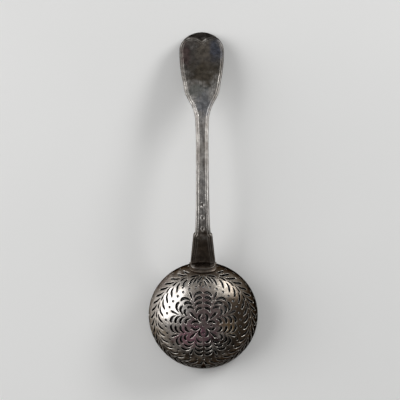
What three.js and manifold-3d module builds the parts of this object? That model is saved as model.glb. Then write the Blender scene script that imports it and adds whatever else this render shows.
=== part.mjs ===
// A silver sugar sifter spoon, lying face down: a round pierced bowl, the drop plate on its back,
// and a fiddle-and-thread handle.
// Millimetres. +Y runs from the bowl to the handle's end and +Z is up. The spoon rests on z = 0
// on the front of its lip and on the turned-down end of its handle.
import * as THREE from "three";
import { mergeVertices } from "three/addons/utils/BufferGeometryUtils.js";
import Module from "manifold-3d";

const wasm = await Module();
wasm.setup();

// Bowl: a cup raised from sheet, a little thicker at its lip, tipped towards its front.
const bowlRadius = 33.3;
const bowlDepth = 23.5;
const bowlPower = 2.1;
const sheetThickness = 1.0;
const lipThickness = 1.4;
const bowlTiltDegrees = 11.5;
const facetLength = 5.0;
const leastRingPairs = 3;
const bowlRings = 10;

// Piercing: the saw cuts' own widths and the drilled holes' radii.
const petalSlitWidth = 1.35;
const barWidth = 1.4;
const gapDartWidth = 1.2;
const leafWidth = 1.2;
const holeSideCount = 5;
const crownHoleRadius = 0.55;
const eyeHoleRadius = 0.6;
const ringHoleRadius = 0.6;
const lipHoleRadius = 0.6;

// Piercing: places and reaches on the bowl's back, as shares of the arc from its crown to its lip.
const piercingShares = [
  ["eyeHole", 0.099],
  ["eyeReach", 0.157],
  ["eyeHalfWidth", 0.052],
  ["petalReach", 0.436],
  ["petalSpacing", 0.0675],
  ["petalSpread", 0.121],
  ["petalFall", 0.074],
  ["barStart", 0.117],
  ["barEnd", 0.24],
  ["diagonalReach", 0.442],
  ["gapDartStart", 0.355],
  ["gapDartEnd", 0.46],
  ["ringHoles", 0.519],
  ["tuftStart", 0.59],
  ["tuftEnd", 0.541],
  ["tuftBar", 0.625],
  ["innerLeafStart", 0.647],
  ["innerLeafEnd", 0.589],
  ["middleLeaf", 0.684],
  ["outerLeafStart", 0.735],
  ["outerLeafEnd", 0.815],
  ["leafBow", 0.01],
  ["plateLeafStart", 0.753],
  ["plateLeafEnd", 0.824],
  ["lipHoles", 0.89],
];
const petalRows = 4;
const petalNarrowingShare = 0.085;
const diagonalRows = 3;
const diagonalNarrowingShare = 0.22;
const ringHoleCount = 34;

// Leaf garland: two branches that leave the handle and meet at the front, with three rows of cuts each.
// Each row has a count on either side, and its angles are degrees from the handle's side.
const innerLeafCount = 17;
const innerLeafAngles = { firstDegrees: 10.3, pitchDegrees: 10.1, sweepDegrees: 7.9 };
const middleLeafCount = 15;
const middleLeafAngles = { firstDegrees: 8.6, pitchDegrees: 11.4, sweepDegrees: 7.6 };
const outerLeafCount = 19;
const outerLeafAngles = { firstDegrees: 19.6, pitchDegrees: 8.53, sweepDegrees: 9.6 };
const lipHoleCount = 19;
const lipHoleAngles = { firstDegrees: 16.0, pitchDegrees: 8.9 };
const tuftDartAngles = { firstDegrees: 0.9, sweepDegrees: 4.3 };
const tuftBarAngles = { firstDegrees: 1.6, sweepDegrees: 3.4 };
const tuftLeafAngles = { firstDegrees: 4.7, sweepDegrees: 6.0 };
const plateLeafAngles = { firstDegrees: 16.2, sweepDegrees: 5.8 };

// Drop plate: a round-ended tongue soldered on the bowl's back, with the handle's own end on top of it.
const seatGap = 0.3;
const plateThickness = 0.8;
const plateHalfWidth = 8.1;
const plateLength = 13.2;
const plateRound = 5.2;
const plateClearance = 0.2;
const plateLipMargin = 0.8;
const tongueThickness = 1.0;
const tongueHalfWidth = 7.4;
const tongueLength = 10.9;
const tongueRound = 3.9;
const tongueStationCount = 14;
const tongueColumnCount = 8;

// Handle: its run is measured in plan from the bowl's back lip, and its heights are of its underside.
const handleRun = 140.3;
const rootBury = 5.0;
const rootRise = 0.5;
const archHeight = 27.0;
const shoulderRun = 17.8;
const shoulderStep = 0.9;
const shoulderRise = 9.6;
const rootHalfWidth = 7.4;
const shoulderHalfWidth = 5.5;
const neckHalfWidth = 4.6;
const stemHalfWidth = 3.6;
const bladeHalfWidth = 13.4;
const bladeEndLength = 12.2;
const endHalfWidth = 1.6;
const rootThickness = 4.8;
const neckThickness = 3.2;
const stemThickness = 2.5;
const bladeThickness = 1.8;
const endThickness = 1.2;
const edgeThicknessShare = 0.55;
const beadWidth = 0.92;
const beadHeight = 0.24;
const grooveDepth = 0.16;
const fieldCrown = 0.12;
const beadWidthShare = 0.26;
const threadFadeLength = 2.4;
const threadFadeRun = 132.6;

// Bracket: the thread that crosses the blade's end in two lobes and a cusp.
const bracketRadius = 0.5;
const bracketCuspRun = 133.1;
const bracketLobeRun = 135.6;
const bracketLobeX = 5.9;
const bracketSideX = 12.1;
const bracketSideRun = 131.8;
const bracketStepCount = 36;
const bracketSideShares = [
  [1, 0],
  [0.91, 0.5],
];
const bracketLobeShares = [
  [1.3, 0.94],
  [1, 1],
  [0.6, 0.94],
];
const bracketCuspShare = 0.28;
const bracketSectionSegments = 3;

const cutOverrun = 0.5;
const weldDistance = 0.0001;
const profileSampleCount = 400;
const bisectionCount = 24;

const silver = { color: 0xb9b2a8, roughness: 0.3, metalness: 1 };
const materialOf = (finish) => new THREE.MeshStandardMaterial(finish);

/** A point of a raised profile, crown at angle 0 and lip at a right angle, as radius and height. */
function profilePoint(angle, radius, depth) {
  return {
    r: radius * Math.sin(angle) ** (2 / bowlPower),
    h: depth * Math.cos(angle) ** (2 / bowlPower),
  };
}

/** The outer profile sampled from crown to lip, with the arc length at each sample. */
function sampleOuterProfile() {
  const samples = [];
  let arc = 0;
  for (let i = 0; i <= profileSampleCount; i++) {
    const angle = (i / profileSampleCount) * (Math.PI / 2);
    const atLip = i === profileSampleCount;
    const point = atLip ? { r: bowlRadius, h: 0 } : profilePoint(angle, bowlRadius, bowlDepth);
    if (i > 0) arc += Math.hypot(point.r - samples[i - 1].r, point.h - samples[i - 1].h);
    samples.push({ ...point, arc });
  }
  return samples;
}

const outerProfile = sampleOuterProfile();
const lipArc = outerProfile[profileSampleCount].arc;
const place = Object.fromEntries(piercingShares.map(([name, share]) => [name, share * lipArc]));
const plateTipArc = lipArc - plateLength;
const tongueTipArc = lipArc - tongueLength;
const bowlTilt = THREE.MathUtils.degToRad(bowlTiltDegrees);

/** Radius and height of the outer surface at an arc from the crown, with the outward normal's two parts. */
function atArc(arc) {
  const reach = Math.min(Math.max(arc, 0), lipArc);
  let high = outerProfile.findIndex((sample) => sample.arc >= reach);
  high = Math.max(high, 1);
  const a = outerProfile[high - 1];
  const b = outerProfile[high];
  const share = (reach - a.arc) / (b.arc - a.arc);
  const r = a.r + (b.r - a.r) * share;
  const h = a.h + (b.h - a.h) * share;
  const normalR = (r / bowlRadius) ** (bowlPower - 1) / bowlRadius;
  const normalH = (h / bowlDepth) ** (bowlPower - 1) / bowlDepth;
  const size = Math.hypot(normalR, normalH);
  return { r, h, normalR: normalR / size, normalH: normalH / size };
}

/** A point in the bowl's frame at an arc from the crown and an angle from the handle's side. */
function onBowl(arc, angle, offset) {
  const { r, h, normalR, normalH } = atArc(arc);
  const radius = r + normalR * offset;
  return new THREE.Vector3(radius * Math.sin(angle), radius * Math.cos(angle), h + normalH * offset);
}

/** A manifold solid from loose triangle corners, turned so that its faces point out. */
function solidFromPositions(positions) {
  const loose = new THREE.BufferGeometry();
  loose.setAttribute("position", new THREE.BufferAttribute(new Float32Array(positions), 3));
  const merged = mergeVertices(loose, weldDistance);
  const corners = new Uint32Array(merged.index.array);
  const build = () =>
    new wasm.Manifold(
      new wasm.Mesh({ numProp: 3, vertProperties: merged.attributes.position.array, triVerts: corners }),
    );
  const made = build();
  if (made.volume() > 0) return made;
  for (let i = 0; i < corners.length; i += 3) {
    [corners[i + 1], corners[i + 2]] = [corners[i + 2], corners[i + 1]];
  }
  return build();
}

/** A manifold solid from a closed three.js geometry. */
function solidFromGeometry(geometry) {
  const loose = geometry.index ? geometry.toNonIndexed() : geometry;
  return solidFromPositions(loose.getAttribute("position").array);
}

/** The solid's surface as a three.js geometry. */
function geometryOf(solid) {
  const mesh = solid.getMesh();
  const positions = new Float32Array(mesh.numVert * 3);
  for (let i = 0; i < mesh.numVert; i++) {
    positions.set(mesh.vertProperties.subarray(i * mesh.numProp, i * mesh.numProp + 3), i * 3);
  }
  const geometry = new THREE.BufferGeometry();
  geometry.setAttribute("position", new THREE.BufferAttribute(positions, 3));
  geometry.setIndex(new THREE.BufferAttribute(new Uint32Array(mesh.triVerts), 1));
  geometry.computeVertexNormals();
  return geometry;
}

/** Loose triangles of a solid lofted through rings of equally many points, with flat ends. */
function loftSolid(rings, capFaces) {
  const positions = [];
  const push = (...points) => points.forEach((p) => positions.push(p.x, p.y, p.z));
  const size = rings[0].length;
  for (let i = 0; i + 1 < rings.length; i++) {
    for (let j = 0; j < size; j++) {
      const k = (j + 1) % size;
      push(rings[i][j], rings[i + 1][j], rings[i + 1][k]);
      push(rings[i][j], rings[i + 1][k], rings[i][k]);
    }
  }
  const last = rings[rings.length - 1];
  capFaces.forEach(([a, b, c]) => {
    push(rings[0][a], rings[0][b], rings[0][c]);
    push(last[a], last[c], last[b]);
  });
  return solidFromPositions(positions);
}

/** A ring of points about the bowl's axis, as many as its length needs, or the one point on the axis. */
function ringPoints({ r, h }) {
  if (r === 0) return [new THREE.Vector3(0, 0, h)];
  const size = 2 * Math.max(leastRingPairs, Math.round((Math.PI * r) / facetLength));
  return Array.from({ length: size }, (_, i) => {
    const angle = (i / size) * 2 * Math.PI;
    return new THREE.Vector3(r * Math.sin(angle), r * Math.cos(angle), h);
  });
}

/** A solid turned about the bowl's axis, from radius and height pairs that start and end on it. */
function turnedSolid(profile) {
  const positions = [];
  const push = (...points) => points.forEach((p) => positions.push(p.x, p.y, p.z));
  const rings = profile.map(ringPoints);
  for (let k = 0; k + 1 < rings.length; k++) {
    const [a, b] = [rings[k], rings[k + 1]];
    const stepsA = a.length > 1 ? a.length : 0;
    const stepsB = b.length > 1 ? b.length : 0;
    let i = 0;
    let j = 0;
    while (i < stepsA || j < stepsB) {
      const pointA = a[i % a.length];
      const pointB = b[j % b.length];
      const takeA = i < stepsA && (j >= stepsB || (i + 1) * stepsB <= (j + 1) * stepsA);
      if (takeA) {
        i += 1;
        push(pointA, pointB, a[i % a.length]);
      } else {
        j += 1;
        push(pointA, pointB, b[j % b.length]);
      }
    }
  }
  return solidFromPositions(positions);
}

/** Ring points of a profile from the crown down to the lip. */
function profileRings(radius, depth) {
  const rings = [];
  for (let i = 0; i <= bowlRings; i++) {
    const angle = (i / bowlRings) * (Math.PI / 2);
    rings.push(profilePoint(angle, radius, depth));
  }
  rings[0].r = 0;
  rings[bowlRings].h = 0;
  return rings;
}

/** The prism that cuts one outline, given as arc and angle pairs, right through the bowl's wall. */
function pierceSolid(corners) {
  const flatten = ({ arc, angle }) => new THREE.Vector2(arc * Math.sin(angle), arc * Math.cos(angle));
  const outline = THREE.ShapeUtils.isClockWise(corners.map(flatten)) ? [...corners].reverse() : corners;
  const faces = THREE.ShapeUtils.triangulateShape(outline.map(flatten), []);
  const surface = outline.map(({ arc, angle }) => onBowl(arc, angle, 0));
  const normals = outline.map(({ arc, angle }, i) => onBowl(arc, angle, 1).sub(surface[i]));
  const along = normals.reduce((sum, normal) => sum.add(normal), new THREE.Vector3()).normalize();
  const cutFrame = new THREE.Matrix4().lookAt(along, new THREE.Vector3(), new THREE.Vector3(0, 0, 1));
  cutFrame.setPosition(surface[0]);
  const local = surface.map((p) => p.clone().applyMatrix4(cutFrame.clone().invert()));
  const ringAt = (height) => local.map(({ x, y }) => new THREE.Vector3(x, y, height));
  const prism = loftSolid([ringAt(-lipThickness - cutOverrun), ringAt(cutOverrun)], faces);
  return prism.transform(cutFrame.elements);
}

/** The outline of a slit of varying width along a centre line, in flat points, pointed at both ends. */
function ribbonOutline(centre, halfWidths) {
  const sides = { left: [], right: [] };
  for (let i = 1; i + 1 < centre.length; i++) {
    const along = centre[i + 1].clone().sub(centre[i - 1]).normalize();
    const across = new THREE.Vector2(-along.y, along.x).multiplyScalar(halfWidths[i]);
    sides.left.push(centre[i].clone().add(across));
    sides.right.unshift(centre[i].clone().sub(across));
  }
  return [centre[0], ...sides.left, centre[centre.length - 1], ...sides.right];
}

/** Flat points about the crown, x sideways and y towards the handle, turned and changed to arc and angle. */
function aroundCrown(points, turn) {
  return points.map((p) => ({ arc: Math.hypot(p.x, p.y), angle: Math.atan2(p.x, p.y) + turn }));
}

/** A round hole's outline at an arc and angle. */
function holeOutline(arc, angle, radius) {
  const { r } = atArc(arc);
  return Array.from({ length: holeSideCount }, (_, i) => {
    const turn = (i / holeSideCount) * 2 * Math.PI;
    return { arc: arc + radius * Math.cos(turn), angle: angle + (radius * Math.sin(turn)) / r };
  });
}

/** A round hole centred on the crown. */
function crownHoleOutline(radius) {
  const corners = Array.from({ length: holeSideCount }, (_, i) => {
    const turn = (i / holeSideCount) * 2 * Math.PI;
    return new THREE.Vector2(radius * Math.sin(turn), radius * Math.cos(turn));
  });
  return aroundCrown(corners, 0);
}

/** A straight dart along a petal's axis, from one arc to another, widest past its middle. */
function dartOutline(start, end, width, turn) {
  const widestShare = 0.65;
  const centre = [
    new THREE.Vector2(0, start),
    new THREE.Vector2(0, start + (end - start) * widestShare),
    new THREE.Vector2(0, end),
  ];
  return aroundCrown(ribbonOutline(centre, [0, width / 2, 0]), turn);
}

/** One curved slit of a petal: it starts beside the petal's axis and falls back along the petal's side. */
function petalSlitOutline(reach, spread, fall, side, turn) {
  const shapeShares = [
    [0.17, 0],
    [0.46, 0],
    [0.85, 0.38],
    [1, 1],
  ];
  const halfWidthShares = [0, 0.5, 0.4, 0];
  const centre = shapeShares.map(
    ([acrossShare, fallShare]) => new THREE.Vector2(side * spread * acrossShare, reach - fall * fallShare),
  );
  const halfWidths = halfWidthShares.map((share) => petalSlitWidth * share);
  return aroundCrown(ribbonOutline(centre, halfWidths), turn);
}

/** One of the two crescents that close in an eye at a petal's foot. */
function eyeOutline(side, turn) {
  const lengthShares = [0.3, 0.55, 0.85, 1.03];
  const widthShares = [0.62, 1, 0.9, 0.3];
  const halfWidthShares = [0, 0.5, 0.5, 0];
  const centre = lengthShares.map(
    (share, i) => new THREE.Vector2(side * place.eyeHalfWidth * widthShares[i], place.eyeReach * share),
  );
  const halfWidths = halfWidthShares.map((share) => petalSlitWidth * share);
  return aroundCrown(ribbonOutline(centre, halfWidths), turn);
}

/** A leaf-shaped cut swept along the bowl from one arc and angle to another, bowed to one side. */
function leafOutline(start, end, width, bow) {
  const middle = atArc((start.arc + end.arc) / 2).r;
  const far = new THREE.Vector2((end.angle - start.angle) * middle, end.arc - start.arc);
  const across = new THREE.Vector2(-far.y, far.x).normalize();
  const lengthShares = [0, 0.6, 1];
  const centre = lengthShares.map((share) => {
    const sag = Math.sin(Math.PI * share) * bow;
    return far.clone().multiplyScalar(share).addScaledVector(across, sag);
  });
  const halfWidths = [0, width / 2, 0];
  return ribbonOutline(centre, halfWidths).map((p) => ({
    arc: start.arc + p.y,
    angle: start.angle + p.x / middle,
  }));
}

/** Every cut of the rosette: four petals with eyes, four between them on a bar, and darts in the gaps. */
function rosetteOutlines() {
  const outlines = [crownHoleOutline(crownHoleRadius)];
  const addPetalSlits = (rows, reach, narrowingShare, side, turn) => {
    for (let row = 0; row < rows; row++) {
      const spread = place.petalSpread * (1 - row * narrowingShare);
      outlines.push(petalSlitOutline(reach - row * place.petalSpacing, spread, place.petalFall, side, turn));
    }
  };
  for (let petal = 0; petal < 4; petal++) {
    const axis = (petal * Math.PI) / 2;
    const diagonal = axis + Math.PI / 4;
    outlines.push(holeOutline(place.eyeHole, axis, eyeHoleRadius));
    outlines.push(dartOutline(place.barStart, place.barEnd, barWidth, diagonal));
    for (const side of [-1, 1]) {
      const gap = axis + (side * Math.PI) / 8;
      outlines.push(eyeOutline(side, axis));
      outlines.push(dartOutline(place.gapDartStart, place.gapDartEnd, gapDartWidth, gap));
      addPetalSlits(petalRows, place.petalReach, petalNarrowingShare, side, axis);
      addPetalSlits(diagonalRows, place.diagonalReach, diagonalNarrowingShare, side, diagonal);
    }
  }
  return outlines;
}

/** True where a cut would run under the drop plate. */
function underPlate(outline) {
  return outline.some(({ arc, angle }) => {
    const x = Math.abs(atArc(arc).r * Math.sin(angle));
    const onHandleSide = Math.cos(angle) > 0;
    return onHandleSide && x < plateHalfWidth + plateClearance && arc > plateTipArc - plateClearance;
  });
}

/** Every cut of the leaf garland and of the rings of round holes. */
function garlandOutlines() {
  const outlines = [];
  for (let i = 0; i < ringHoleCount; i++) {
    outlines.push(holeOutline(place.ringHoles, (i / ringHoleCount) * 2 * Math.PI, ringHoleRadius));
  }
  const addRow = (count, angles, arcs, side, bow) => {
    for (let i = 0; i < count; i++) {
      const first = angles.firstDegrees + (i > 0 ? i * angles.pitchDegrees : 0);
      const start = { arc: arcs[0], angle: side * THREE.MathUtils.degToRad(first) };
      const end = { arc: arcs[1], angle: side * THREE.MathUtils.degToRad(first + angles.sweepDegrees) };
      outlines.push(leafOutline(start, end, leafWidth, side * bow));
    }
  };
  const tuftArcs = [place.tuftStart, place.tuftEnd];
  const innerArcs = [place.innerLeafStart, place.innerLeafEnd];
  const outerArcs = [place.outerLeafStart, place.outerLeafEnd];
  const plateLeafArcs = [place.plateLeafStart, place.plateLeafEnd];
  for (const side of [-1, 1]) {
    addRow(1, tuftDartAngles, tuftArcs, side, 0);
    addRow(1, tuftBarAngles, [place.tuftBar, place.tuftBar], side, 0);
    addRow(1, tuftLeafAngles, innerArcs, side, 0);
    addRow(1, plateLeafAngles, plateLeafArcs, side, 0);
    addRow(innerLeafCount, innerLeafAngles, innerArcs, side, place.leafBow);
    addRow(middleLeafCount, middleLeafAngles, [place.middleLeaf, place.middleLeaf], side, 0);
    addRow(outerLeafCount, outerLeafAngles, outerArcs, side, -place.leafBow);
    for (let i = 0; i < lipHoleCount; i++) {
      const degrees = lipHoleAngles.firstDegrees + i * lipHoleAngles.pitchDegrees;
      outlines.push(holeOutline(place.lipHoles, side * THREE.MathUtils.degToRad(degrees), lipHoleRadius));
    }
  }
  return outlines.filter((outline) => !underPlate(outline));
}

/** The pierced bowl in its own frame: lip plane at z = 0, crown up. */
function makeBowl() {
  const outer = profileRings(bowlRadius, bowlDepth);
  const inner = profileRings(bowlRadius - lipThickness, bowlDepth - sheetThickness);
  const shell = turnedSolid([...outer, ...inner.reverse()]);
  const cuts = [...rosetteOutlines(), ...garlandOutlines()].map(pierceSolid);
  return geometryOf(shell.subtract(wasm.Manifold.union(cuts)));
}

/** Half-width of a round-ended tongue at an arc, for a tip at tipArc rounded over the given length. */
function tongueHalfWidthAt(arc, halfWidth, tipArc, round) {
  const intoRound = Math.max(0, tipArc + round - arc) / round;
  const bluntShare = 0.2;
  return halfWidth * Math.max(bluntShare, Math.sqrt(Math.max(0, 1 - intoRound ** 2)));
}

/** A tongue that hugs the bowl's back between two offsets from its surface. */
function tongueSolid({ halfWidth, tipArc, round, baseArc, under, over }) {
  const columns = tongueColumnCount;
  const rings = [];
  for (let i = 0; i <= tongueStationCount; i++) {
    const share = Math.sin((i / tongueStationCount) * (Math.PI / 2));
    const arc = baseArc + (tipArc - baseArc) * share;
    const half = tongueHalfWidthAt(arc, halfWidth, tipArc, round);
    const angleAt = (j) => ((2 * j) / columns - 1) * (half / atArc(arc).r);
    const lower = Array.from({ length: columns + 1 }, (_, j) => onBowl(arc, angleAt(j), under));
    const upper = Array.from({ length: columns + 1 }, (_, j) => onBowl(arc, angleAt(columns - j), over));
    rings.push([...lower, ...upper]);
  }
  const faces = [];
  const top = (j) => 2 * columns + 1 - j;
  for (let j = 0; j < columns; j++) {
    faces.push([j, j + 1, top(j + 1)], [j, top(j + 1), top(j)]);
  }
  return loftSolid(rings, faces);
}

const plateOver = seatGap + plateThickness;
const tongueUnder = plateOver + seatGap;

/** The drop plate in the bowl's frame. */
function makePlate() {
  return geometryOf(
    tongueSolid({
      halfWidth: plateHalfWidth,
      tipArc: plateTipArc,
      round: plateRound,
      baseArc: lipArc - plateLipMargin,
      under: seatGap,
      over: plateOver,
    }),
  );
}

const bowlCentre = new THREE.Vector3(0, 0, bowlRadius * Math.sin(bowlTilt));
const bowlPlace = new THREE.Matrix4().makeRotationX(bowlTilt).setPosition(bowlCentre);
const lipBack = new THREE.Vector3(0, bowlRadius, 0).applyMatrix4(bowlPlace);

/** The handle's underside in the plane of symmetry, from the lip to the end, as run and height. */
function makeUnderside() {
  const rootHeight = lipBack.z + rootRise;
  const shoulderHeight = rootHeight + shoulderRise;
  const midShoulderShare = 0.54;
  const archShares = [
    [0.24, 0.975],
    [0.33, 1],
    [0.43, 0.965],
    [0.54, 0.87],
    [0.65, 0.73],
    [0.76, 0.56],
    [0.86, 0.375],
    [0.93, 0.225],
    [0.965, 0.135],
  ];
  const slope = shoulderRise / shoulderRun;
  return new THREE.SplineCurve([
    new THREE.Vector2(-rootBury, rootHeight - rootBury * slope),
    new THREE.Vector2(0, rootHeight),
    new THREE.Vector2(shoulderRun / 2, rootHeight + shoulderRise * midShoulderShare),
    new THREE.Vector2(shoulderRun, shoulderHeight),
    ...archShares.map(([runShare, heightShare]) => {
      return new THREE.Vector2(handleRun * runShare, archHeight * heightShare);
    }),
    new THREE.Vector2(handleRun, 0),
  ]);
}

const underside = makeUnderside();

/** The underside's point, direction and upward normal at a run from the lip. */
function undersideAt(run) {
  let low = 0;
  let high = 1;
  for (let i = 0; i < bisectionCount; i++) {
    const middle = (low + high) / 2;
    if (underside.getPoint(middle).x < run) low = middle;
    else high = middle;
  }
  const point = underside.getPoint(low);
  const along = underside.getTangent(low);
  return { point, normal: new THREE.Vector2(-along.y, along.x) };
}

/** Straight interpolation in a table of run and value pairs. */
function lookUp(table, run) {
  const next = table.findIndex(([at]) => at >= run);
  if (next === 0) return table[0][1];
  if (next < 0) return table[table.length - 1][1];
  const [runA, valueA] = table[next - 1];
  const [runB, valueB] = table[next];
  return valueA + ((valueB - valueA) * (run - runA)) / (runB - runA);
}

const bladeSwellShares = [
  [0.51, 0],
  [0.571, 0.02],
  [0.597, 0.032],
  [0.623, 0.062],
  [0.65, 0.153],
  [0.667, 0.245],
  [0.681, 0.342],
  [0.694, 0.449],
  [0.708, 0.551],
  [0.721, 0.636],
  [0.735, 0.69],
  [0.75, 0.735],
  [0.777, 0.8],
  [0.804, 0.878],
  [0.831, 0.929],
  [0.858, 0.969],
  [0.885, 0.993],
  [0.913, 1],
];

const shankTaperShares = [
  [0, 1],
  [0.28, 0.945],
  [0.58, 0.865],
  [0.84, 0.79],
];
const neckTaperShares = [
  [0.055, 0.5],
  [0.145, 0.16],
];

const halfWidthTable = [
  [-rootBury, rootHalfWidth],
  ...shankTaperShares.map(([runShare, widthShare]) => [shoulderRun * runShare, rootHalfWidth * widthShare]),
  [shoulderRun - shoulderStep / 2, shoulderHalfWidth],
  [shoulderRun + shoulderStep / 2, neckHalfWidth],
  ...neckTaperShares.map(([runShare, swell]) => [
    shoulderRun + handleRun * runShare,
    stemHalfWidth + (neckHalfWidth - stemHalfWidth) * swell,
  ]),
  ...bladeSwellShares.map(([runShare, swell]) => [
    handleRun * runShare,
    stemHalfWidth + (bladeHalfWidth - stemHalfWidth) * swell,
  ]),
];

const thinningShares = { stem: 0.35, bladeStart: 0.6, blade: 0.75, bladeEnd: 0.91 };

const thicknessTable = [
  [-rootBury, rootThickness],
  [shoulderRun - shoulderStep / 2, (rootThickness + neckThickness) / 2],
  [shoulderRun + shoulderStep / 2, neckThickness],
  [handleRun * thinningShares.stem, stemThickness],
  [handleRun * thinningShares.bladeStart, (stemThickness + bladeThickness) / 2],
  [handleRun * thinningShares.blade, bladeThickness],
  [handleRun * thinningShares.bladeEnd, bladeThickness],
  [handleRun, endThickness],
];

/** Half the handle's width at a run, closing in an ellipse at the blade's end. */
function handleHalfWidth(run) {
  const intoEnd = Math.max(0, run - (handleRun - bladeEndLength)) / bladeEndLength;
  const ellipse = Math.sqrt(Math.max(0, 1 - intoEnd ** 2));
  return Math.max(endHalfWidth, lookUp(halfWidthTable, run) * ellipse);
}

/** How much of the threads' relief is left at a run: all of it, fading out before the blade's end. */
function threadStrength(run) {
  return THREE.MathUtils.clamp((threadFadeRun - run) / threadFadeLength, 0, 1);
}

// Across the two threads at each edge: how many bead widths in from the edge each corner lies.
const beadShares = { fieldEdge: 2.15, innerGroove: 2, innerBead: 1.5, groove: 1, outerBead: 0.5, edge: 0.1 };
const crownFallShare = 0.6;

/** The section's corners from the middle of a face to the edge, as place across and relief. */
function faceCorners(run) {
  const half = handleHalfWidth(run);
  const bead = Math.min(beadWidth, half * beadWidthShare);
  const strength = threadStrength(run);
  const inward = (beadShare) => half - bead * beadShare;
  return [
    [0, fieldCrown],
    [inward(beadShares.fieldEdge) * crownFallShare, fieldCrown * crownFallShare],
    [inward(beadShares.fieldEdge), 0],
    [inward(beadShares.innerGroove), -grooveDepth * strength],
    [inward(beadShares.innerBead), beadHeight * strength],
    [inward(beadShares.groove), -grooveDepth * strength],
    [inward(beadShares.outerBead), beadHeight * strength],
    [inward(beadShares.edge), 0],
  ];
}

/** The handle's closed section at a run, as points in the handle's frame. */
function handleSection(run) {
  const { point, normal } = undersideAt(run);
  const thickness = lookUp(thicknessTable, run);
  const half = handleHalfWidth(run);
  const at = (x, up) => new THREE.Vector3(x, point.x + normal.x * up, point.y + normal.y * up);
  const face = faceCorners(run);
  const topHalf = face.map(([x, relief]) => [x, thickness + relief]);
  const underFade = threadStrength(run);
  const underHalf = face.map(([x, relief]) => [x, -relief * underFade]);
  const edge = (thickness * (1 - edgeThicknessShare)) / 2;
  const right = [
    ...topHalf.slice(0, -1),
    [half, thickness - edge],
    [half, edge],
    ...underHalf.slice(0, -1).reverse(),
  ];
  const left = right.slice(1, -1).reverse();
  return [...right.map(([x, up]) => at(x, up)), ...left.map(([x, up]) => at(-x, up))];
}

/** The upper surface's point at a place across and a run, lifted along its normal. */
function onHandleTop(x, run, lift) {
  const { point, normal } = undersideAt(run);
  const up = lookUp(thicknessTable, run) + lift;
  return new THREE.Vector3(x, point.x + normal.x * up, point.y + normal.y * up);
}

/** The runs at which the handle has a section, closer where its outline turns. */
function handleStations() {
  const shoulder = shankTaperShares.map(([share]) => share * shoulderRun);
  const step = [shoulderRun - shoulderStep / 2, shoulderRun + shoulderStep / 2];
  const stemShares = [0.17, 0.21, 0.25, 0.3, 0.35, 0.4, 0.45, 0.5, 0.55];
  const bladeShares = bladeSwellShares.slice(2).map(([share]) => share);
  const endShares = [0, 0.16, 0.32, 0.46, 0.58, 0.69, 0.78, 0.86, 0.92, 0.965, 1];
  const end = endShares.map((share) => handleRun - bladeEndLength * (1 - share));
  const between = [...stemShares, ...bladeShares].map((share) => share * handleRun);
  const beforeEnd = between.filter((run) => run < end[0]);
  return [-rootBury, ...shoulder, ...step, ...beforeEnd, ...end];
}

/** Caps for a section whose right and left sides mirror each other, as corner numbers. */
function mirrorCap(size) {
  const faces = [];
  const half = size / 2;
  for (let j = 0; j < half; j++) {
    const mirror = (size - j) % size;
    const nextMirror = size - j - 1;
    if (j > 0) faces.push([j, nextMirror, mirror]);
    if (j + 1 < half) faces.push([j, j + 1, nextMirror]);
  }
  return faces;
}

/** The half-round thread across the blade's end, as a round bar along its lobes and cusp. */
function bracketSolid() {
  const rise = bracketLobeRun - bracketSideRun;
  const runAt = (riseShare) => bracketSideRun + rise * riseShare;
  const halfPath = [
    ...bracketSideShares.map(([xShare, riseShare]) => [bracketSideX * xShare, runAt(riseShare)]),
    ...bracketLobeShares.map(([xShare, riseShare]) => [bracketLobeX * xShare, runAt(riseShare)]),
    [bracketLobeX * bracketCuspShare, (bracketCuspRun + bracketLobeRun) / 2],
  ];
  const places = [
    ...halfPath.map(([x, run]) => [-x, run]),
    [0, bracketCuspRun],
    ...halfPath.reverse(),
  ];
  const curve = new THREE.CatmullRomCurve3(places.map(([x, run]) => onHandleTop(x, run, 0)));
  const section = new THREE.Shape();
  section.absarc(0, 0, bracketRadius, 0, 2 * Math.PI);
  const bar = new THREE.ExtrudeGeometry(section, {
    steps: bracketStepCount,
    curveSegments: bracketSectionSegments,
    extrudePath: curve,
    bevelEnabled: false,
  });
  return solidFromGeometry(bar);
}

/** The handle in its own frame: run along y from the lip's back, height up from the table. */
function makeHandle() {
  const rings = handleStations().map(handleSection);
  const blank = loftSolid(rings, mirrorCap(rings[0].length));
  const skirt = bowlDepth;
  const seat = profileRings(bowlRadius + tongueUnder, bowlDepth + tongueUnder);
  const seatSolid = turnedSolid([...seat, { r: bowlRadius + tongueUnder, h: -skirt }, { r: 0, h: -skirt }]);
  const toHandle = new THREE.Matrix4().makeTranslation(0, -lipBack.y, 0).multiply(bowlPlace);
  const tongue = tongueSolid({
    halfWidth: tongueHalfWidth,
    tipArc: tongueTipArc,
    round: tongueRound,
    baseArc: lipArc - rootRise,
    under: tongueUnder,
    over: tongueUnder + tongueThickness,
  });
  const cutRoot = blank.subtract(seatSolid.transform(toHandle.elements));
  return geometryOf(cutRoot.add(tongue.transform(toHandle.elements)).add(bracketSolid()));
}

function namedMesh(name, geometry) {
  const mesh = new THREE.Mesh(geometry, materialOf(silver));
  mesh.name = name;
  return mesh;
}

const bowlGroup = new THREE.Group();
bowlGroup.rotation.x = bowlTilt;
bowlGroup.position.copy(bowlCentre);
bowlGroup.add(namedMesh("bowl", makeBowl()), namedMesh("drop_plate", makePlate()));

const handleGroup = new THREE.Group();
handleGroup.position.set(0, lipBack.y, 0);
handleGroup.add(namedMesh("handle", makeHandle()));

const spoon = new THREE.Group();
spoon.add(bowlGroup, handleGroup);

// The origin is under the middle of the spoon's box.
const reach = new THREE.Box3().setFromObject(spoon, true);
spoon.position.y = -(reach.min.y + reach.max.y) / 2;

export default spoon;
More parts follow.
